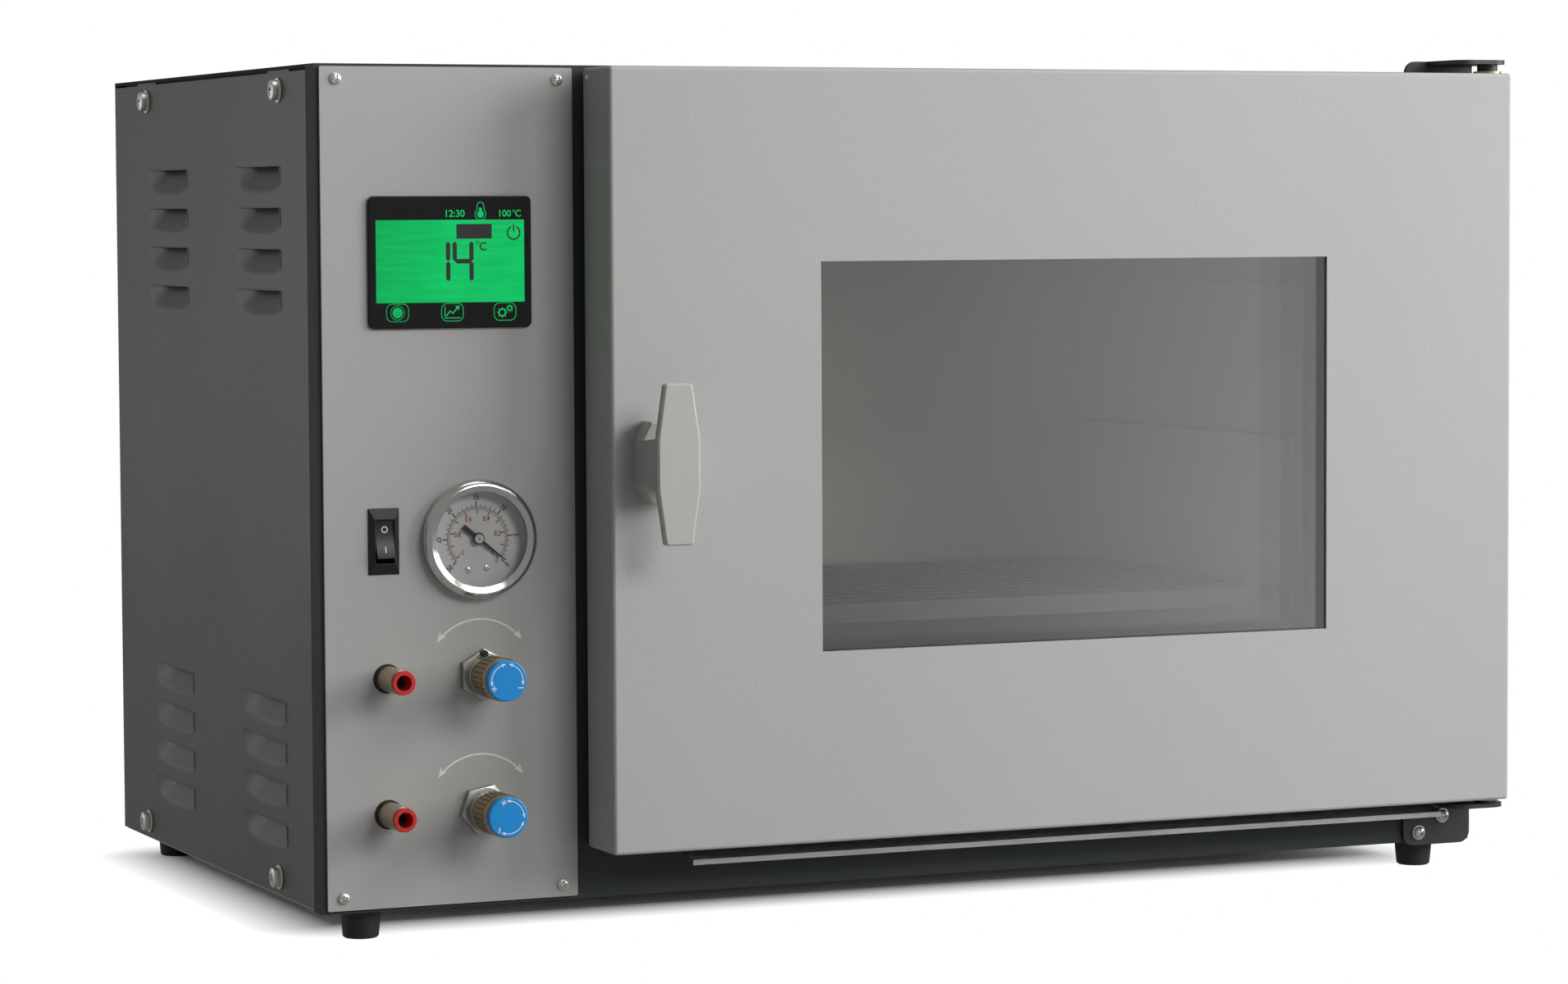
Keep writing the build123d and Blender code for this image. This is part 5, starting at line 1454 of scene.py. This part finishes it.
@dataclass(frozen=True)
class RockerMarks:
    """White on and off signs on the rocker's two halves, in millimetres.

    Attributes:
        bench: the facia's places.
        pivot: the rocker's axis, across, up and out from the facia's corner.
        tilt: the rocker's turn at rest, in degrees.
        up: how far from the axis the signs lie.
        half: half the rocker's height.
        out: from the axis to the middle of its face.
        hollow: how much further out its ends lie than its middle.
    """

    bench: Bench
    pivot: Point = (33.8, 201.6, -3.0)
    tilt: float = -10.5
    up: float = 5.6
    half: float = 10.4
    out: float = 5.7
    hollow: float = 1.6

    def on_half(self, up: float) -> Matrix:
        """Returns a place on the tilted, hollowed face."""
        lean = math.degrees(math.atan2(2 * self.hollow * up / self.half, self.half))
        out = self.out + self.hollow * (up / self.half) ** 2 + 0.02
        return (Matrix.Translation(self.bench.at(*self.pivot)) @ turn_about("X", self.tilt)
                @ Matrix.Translation((0, -out * MM, up * MM)) @ turn_about("X", lean + 90))

    def build(self) -> None:
        """Makes the signs."""
        signs = Drawing("rocker_signs", 0.08)
        signs.ring(1.55, 0.55, self.on_half(self.up))
        signs.bar(0.3, 1.7, self.on_half(-self.up))
        signs.piece.settled(Finish.WHITE, "power_rocker", "rocker")


@dataclass(frozen=True)
class ValveKnob:
    """A ridged valve knob with a brass edge, and the arrows on its cap, in millimetres.

    Attributes:
        name: inlet or pump.
        turn: turn of the cap's print, anticlockwise in degrees.
        repeater: makes the ridges.
        length: from the knob's back to its front.
        body: (radius, height) profile under the ridges.
        rim: profile of the brass edge in front.
        neck: profile of the brass ring behind.
        ridges: how many ridges.
        ridge_start: angle of the first, in degrees.
        ridge_foot: radius on which a ridge stands.
        ridge_size: half its width, and its height.
        ridge_along: (height along the knob, change of its own height) rows.
        ridge_across: its section, as shares of half its width and its height.
        arrow_radius: radius of the arrows' strokes.
        head: outline of an arrow's head.
        sign_radius: radius of the plus and the minus.
        pin: profile of the small pin on the inlet's nut.
        pin_spot: its place from the knob's axis.
    """

    name: str
    turn: float
    repeater: Repeater
    length: float = 25.6
    body: tuple[Flat, ...] = ((3.0, -9.0), (3.0, 0.0), (9.6, 0.0), (10.0, 0.3), (10.0, 4.8), (10.9, 5.0),
                              (11.2, 5.6), (11.2, 22.6), (10.6, 23.1), (0.0, 23.1))
    rim: tuple[Flat, ...] = ((10.2, 23.0), (11.55, 23.0), (11.85, 23.3), (11.85, 25.0), (11.5, 25.55),
                             (10.0, 25.6))
    neck: tuple[Flat, ...] = ((9.0, 1.2), (10.05, 1.2), (10.05, 1.5), (10.05, 4.6), (9.0, 4.6))
    ridges: int = 26
    ridge_start: float = 3.0
    ridge_foot: float = 11.0
    ridge_size: Flat = (1.12, 0.9)
    ridge_along: tuple[Flat, ...] = ((5.3, -0.5), (6.1, 0.0), (22.0, 0.0), (22.8, -0.5))
    ridge_across: tuple[Flat, ...] = ((-1.0, 0.0), (-0.78, 0.8), (-0.4, 1.0), (0.4, 1.0), (0.78, 0.8),
                                      (1.0, 0.0))
    arrow_radius: float = 9.0
    head: tuple[Flat, ...] = ((0.0, -2.2), (0.9, 0.3), (-0.9, 0.3))
    sign_radius: float = 8.6
    pin: tuple[Flat, ...] = ((1.9, -0.3), (1.9, 3.4), (1.6, 3.8), (0.0, 3.8))
    pin_spot: Flat = (-1.2, 12.2)

    def place(self, y: float) -> Matrix:
        """Returns the transform of a local XY drawing onto a plane across the knob's axis."""
        middle = middle_of(self.name + "_valve_cap")
        return facing_front(Vector((middle.x, y, middle.z)))

    def grip(self) -> None:
        """Makes the ridged body and the brass edges."""
        node, rides = self.name + "_valve_knob", self.name + "_knob"
        place = self.place(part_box(self.name + "_valve_cap")[1].y + self.length * MM)
        body = Piece(self.name + "_knob_ridged")
        body.turned(self.body, 72, place)
        ridge, (half, high) = Piece("ridge"), self.ridge_size
        ridge.strip([[((self.ridge_foot + (high + grow) * out) * MM, side * half * MM, along * MM)
                      for side, out in self.ridge_across] for along, grow in self.ridge_along])
        body.add(*self.repeater.ring(ridge.made(Finish.KNOB), self.ridges, self.ridge_start,
                                     360 / self.ridges, Finish.KNOB), place)
        body.settled(Finish.KNOB, node, rides, 28.0, node)
        edge = Piece(self.name + "_knob_edge")
        edge.turned(self.rim, 72, place)
        edge.turned(self.neck, 72, place)
        edge.settled(Finish.BRASS, "vacuum_manifold", rides, 30.0)

    def cap_print(self) -> None:
        """Makes the cap's two curved arrows, its plus and its minus."""
        arrows = Drawing(self.name + "_cap_arrows", 0.05)
        cap = self.name + "_valve_cap"
        place = self.place(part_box(cap)[0].y - 0.01 * MM) @ turn_about("Z", self.turn)
        for start, end in ((108.0, 184.0), (72.0, -4.0)):
            arrows.arc(self.arrow_radius, start, end, 0.45, place)
            sense = 1 if end > start else -1
            arrows.arrowhead(self.head, self.arrow_radius, start, sense, place)
            arrows.arrowhead(self.head, self.arrow_radius, end, -sense, place)
        plus, minus = (place @ Matrix.Translation((x * MM, y * MM, 0)) for x, y in (
            polar(self.sign_radius, 208.0), polar(self.sign_radius, -28.0)))
        arrows.bar(1.5, 0.3, plus)
        arrows.bar(0.3, 1.5, plus @ ABOVE)
        arrows.bar(1.5, 0.3, minus)
        arrows.piece.settled(Finish.WHITE, cap, self.name + "_knob")

    def lock_pin(self) -> None:
        """Makes the small black pin that stands on the nut beside the knob."""
        pin = Piece(self.name + "_lock_pin")
        across, up = self.pin_spot
        pin.turned(self.pin, 28, self.place(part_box("valve_nuts")[0].y)
                   @ Matrix.Translation((across * MM, up * MM, 0.0)))
        pin.settled(Finish.BLACK, "switch_housing", "cabinet", 30.0)

    def build(self) -> None:
        """Makes the knob's pieces."""
        self.grip()
        self.cap_print()
        if self.name == "inlet":
            self.lock_pin()


def door_rivet() -> None:
    """Makes the small domed rivet high on the door's free edge."""
    low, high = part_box("door_shell")
    rivet = Piece("door_edge_rivet")
    spot = Vector((low.x, high.y - 5.0 * MM, high.z - 5.6 * MM))
    rivet.turned(((1.7, -0.1), (1.7, 0.1), (1.45, 0.45), (0.9, 0.68), (0.0, 0.75)), 28,
                 Matrix.Translation(spot) @ turn_about("Y", -90))
    rivet.settled(Finish.ZINC, "hinge_screws", "door", 50.0)


# ---------------------------------------------------------------- stage
@dataclass(frozen=True)
class Lamp:
    """A soft rectangular lamp that the camera doesn't see.

    Attributes:
        name: its name.
        place: where it hangs.
        aim: what it points at.
        size: its width and height.
        power: in watts.
    """

    name: str
    place: Point
    aim: Point
    size: Flat
    power: float

    def build(self) -> None:
        """Adds the lamp."""
        data = bpy.data.lights.new(self.name, "AREA")
        data.shape = "RECTANGLE"
        data.size, data.size_y = self.size
        data.energy = self.power
        made = bpy.data.objects.new(self.name, data)
        made.location = self.place
        made.rotation_euler = (Vector(self.aim) - Vector(self.place)).to_track_quat("-Z", "Y").to_euler()
        made.visible_camera = False
        bpy.context.scene.collection.objects.link(made)


@dataclass(frozen=True)
class Studio:
    """Camera, lamps and white surroundings.

    Attributes:
        eye: the camera's place.
        yaw: turn to the right from straight at the front, in degrees.
        pitch: tilt down, in degrees.
        roll: clockwise turn of the picture, in degrees.
        lens: focal length in millimetres on a 36 mm sensor.
        ambient: strength of the surroundings for diffuse light.
        mirrored: strength of the surroundings in reflections.
        bounce: the floor's brightness for light that bounces off it.
        gain: the floor's brightness for the camera.
        centre: how far the floor's shadows are centred in front of the oven's middle.
        footprint: half sizes of the part of the floor that shows shadows in full.
        fade: how far outside it the shadows fade to white.
        far: half the floor's width.
        lamps: the lamps.
        card_middle: middle of the card that the window mirrors.
        card_size: its width and height.
        card_light: its strength at its left and right edges.
        card_fall: share of that at its bottom and its top.
    """

    eye: Point = (-1.130779, -2.570747, 0.397733)
    yaw: float = 23.4188
    pitch: float = 3.4471
    roll: float = -0.2878
    lens: float = 106.572
    ambient: float = 0.07
    mirrored: float = 0.28
    bounce: float = 0.42
    gain: float = 1.6
    centre: float = 0.06
    footprint: Point = (0.335, 0.155, 1.0)
    fade: float = 0.05
    far: float = 9.0
    lamps: tuple[Lamp, ...] = (
        Lamp("key", (2.7, -1.55, 1.3), (0.0, -0.1, 0.25), (2.3, 1.8), 98.0),
        Lamp("front", (0.9, -3.0, 1.8), (0.0, 0.0, 0.25), (1.4, 1.0), 34.0),
        Lamp("side", (-2.0, 1.8, 0.25), (-0.3, 0.0, 0.2), (1.6, 0.9), 4.5),
        Lamp("overhead", (0.3, -0.2, 2.4), (0.0, -0.1, 0.3), (1.8, 1.2), 12.0))
    card_middle: Point = (0.56, -1.15, 0.30)
    card_size: Flat = (0.72, 0.6)
    card_light: Flat = (0.22, 1.35)
    card_fall: Flat = (1.15, 0.8)

    def camera(self) -> None:
        """Adds the camera."""
        yaw, pitch, roll = (math.radians(a) for a in (self.yaw, self.pitch, self.roll))
        ahead = Vector((math.sin(yaw) * math.cos(pitch), math.cos(yaw) * math.cos(pitch), -math.sin(pitch)))
        right = Vector((math.cos(yaw), -math.sin(yaw), 0.0))
        up = right.cross(ahead)
        right_rolled = math.cos(roll) * right + math.sin(roll) * up
        up_rolled = -math.sin(roll) * right + math.cos(roll) * up
        data = bpy.data.cameras.new("camera")
        data.lens = self.lens
        data.sensor_width = 36.0
        data.clip_end = 50.0
        camera = bpy.data.objects.new("camera", data)
        turn = Matrix((right_rolled, up_rolled, -ahead)).transposed().to_4x4()
        camera.matrix_world = Matrix.Translation(self.eye) @ turn
        bpy.context.scene.collection.objects.link(camera)
        bpy.context.scene.camera = camera

    def world(self) -> None:
        """Adds a world that looks white but lights softly."""
        world = bpy.data.worlds.new("studio")
        world.use_nodes = True
        bpy.context.scene.world = world
        tree = world.node_tree
        back = tree.nodes["Background"]
        back.inputs["Color"].default_value = (1.0, 1.0, 1.0, 1.0)
        path = tree.nodes.new("ShaderNodeLightPath")
        mirrored, level = tree.nodes.new("ShaderNodeMapRange"), tree.nodes.new("ShaderNodeMapRange")
        mirrored.inputs["To Min"].default_value = self.ambient
        mirrored.inputs["To Max"].default_value = self.mirrored
        level.inputs["To Max"].default_value = 1.0
        tree.links.new(path.outputs["Is Glossy Ray"], mirrored.inputs["Value"])
        tree.links.new(mirrored.outputs["Result"], level.inputs["To Min"])
        tree.links.new(path.outputs["Is Camera Ray"], level.inputs["Value"])
        tree.links.new(level.outputs["Result"], back.inputs["Strength"])

    def sheet(self, corners: Sequence[Point], material: bpy.types.Material) -> bpy.types.Object:
        """Adds a flat sheet that isn't part of the oven.

        Args:
            corners: its four corners.
            material: its material, whose name it takes.

        Returns:
            The new object.
        """
        piece = Piece(material.name)
        piece.add(corners, [(0, 1, 2, 3)])
        made = piece.made(Finish.WHITE)
        made.data.materials[0] = material
        return made

    def floor(self) -> None:
        """Adds the floor: lit and shaded near the oven, plain white further out for the camera."""
        graph = NodeGraph("floor")
        graph.uniform(Roughness=0.55, Specular_IOR_Level=0.25)
        path = graph.node("ShaderNodeLightPath")
        seen, glossy = path.outputs["Is Camera Ray"], path.outputs["Is Glossy Ray"]
        graph.tint(graph.spread(seen, 0.0, 1.0, 0.0, 1.0), (self.bounce,) * 3, (self.gain,) * 3)
        drift = graph.spread(graph.noise(3.0), 0.0, 1.0)
        graph.join(graph.spread(drift, 0.5, 0.6, 0.0, 1.0), graph.shader.inputs["Roughness"])
        centred = graph.node("ShaderNodeMapping", Location=(0.0, -self.centre, 0.0))
        graph.join(graph.position(), centred.inputs["Vector"])
        away = centred.outputs["Vector"]
        for operation, value in (("ABSOLUTE", None), ("SUBTRACT", self.footprint),
                                 ("MAXIMUM", (0.0, 0.0, 0.0)), ("LENGTH", None)):
            step = graph.node("ShaderNodeVectorMath")
            step.operation = operation
            if value:
                step.inputs[1].default_value = value
            graph.join(away, step.inputs[0])
            away = step.outputs["Value" if operation == "LENGTH" else "Vector"]
        share = graph.maths("MULTIPLY", graph.spread(away, 0.0, 1.0, 0.0, self.fade),
                            graph.maths("MAXIMUM", seen, glossy))
        white = graph.node("ShaderNodeEmission", Color=(1.0, 1.0, 1.0, 1.0))
        graph.join(graph.spread(seen, self.mirrored, 1.0, 0.0, 1.0), white.inputs["Strength"])
        graph.show_mixed(share, graph.shader.outputs["BSDF"], white.outputs["Emission"])
        self.sheet([(-self.far, -self.far, 0), (self.far, -self.far, 0), (self.far, self.far, 0),
                    (-self.far, self.far, 0)], graph.material)

    def card(self) -> None:
        """Adds an upright card that only shows in reflections, brighter to its right."""
        graph = NodeGraph("window_card")
        across = graph.node("ShaderNodeSeparateXYZ")
        graph.join(graph.position(), across.inputs[0])
        (x, y, z), (wide, tall) = self.card_middle, self.card_size
        left, right, low, high = x - wide / 2, x + wide / 2, z - tall / 2, z + tall / 2
        level = graph.spread(across.outputs["X"], *self.card_light, left, right)
        fall = graph.maths("MULTIPLY", level, graph.spread(across.outputs["Z"], *self.card_fall, low, high))
        uneven = graph.maths("MULTIPLY", fall, graph.spread(graph.noise(1.6, 1.0), 0.82, 1.12))
        lit = graph.node("ShaderNodeEmission", Color=(1.0, 1.0, 0.98, 1.0))
        graph.join(uneven, lit.inputs["Strength"])
        graph.show(lit.outputs["Emission"])
        made = self.sheet([(left, y, low), (right, y, low), (right, y, high), (left, y, high)],
                          graph.material)
        for way in ("visible_camera", "visible_diffuse", "visible_shadow", "visible_transmission"):
            setattr(made, way, False)

    def build(self) -> None:
        """Adds everything around the oven."""
        bpy.context.scene.view_settings.view_transform = "Standard"
        self.camera()
        self.world()
        self.floor()
        for lamp in self.lamps:
            lamp.build()
        self.card()


# ---------------------------------------------------------------- the whole oven
def dress() -> None:
    """Gives every CAD node its finish."""
    for name, node in frame["nodes"].items():
        node.data.materials.clear()
        node.data.materials.append(NODE_FINISH[name].material())


def main() -> None:
    """Builds the scene."""
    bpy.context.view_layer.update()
    dress()
    Studio().build()
    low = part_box("facia_panel")[0]
    bench, repeater = Bench(low.x, low.z, low.y), Repeater()
    for build in (
            SideCover("left_side_cover", -1).build, SideCover("right_side_cover", 1).build,
            Fastened("cover_screws", CrossScrew(5.6, 4.4, 0.8, 6.2, 1.5, 2.0, 7.0, 1.0), 5.4).build,
            Fastened("facia_screws", CrossScrew(3.3, 2.0, 1.1, 4.4, 1.0, 1.2), 2.0).build, hinge_screws,
            GaugeFace(bench, repeater).build, DisplayFace(bench).build, FaciaPrint(bench).build,
            RockerMarks(bench).build, ValveKnob("inlet", 0.0, repeater).build,
            ValveKnob("pump", -100.0, repeater).build, door_rivet):
        build()


if __name__ == "__main__":
    main()
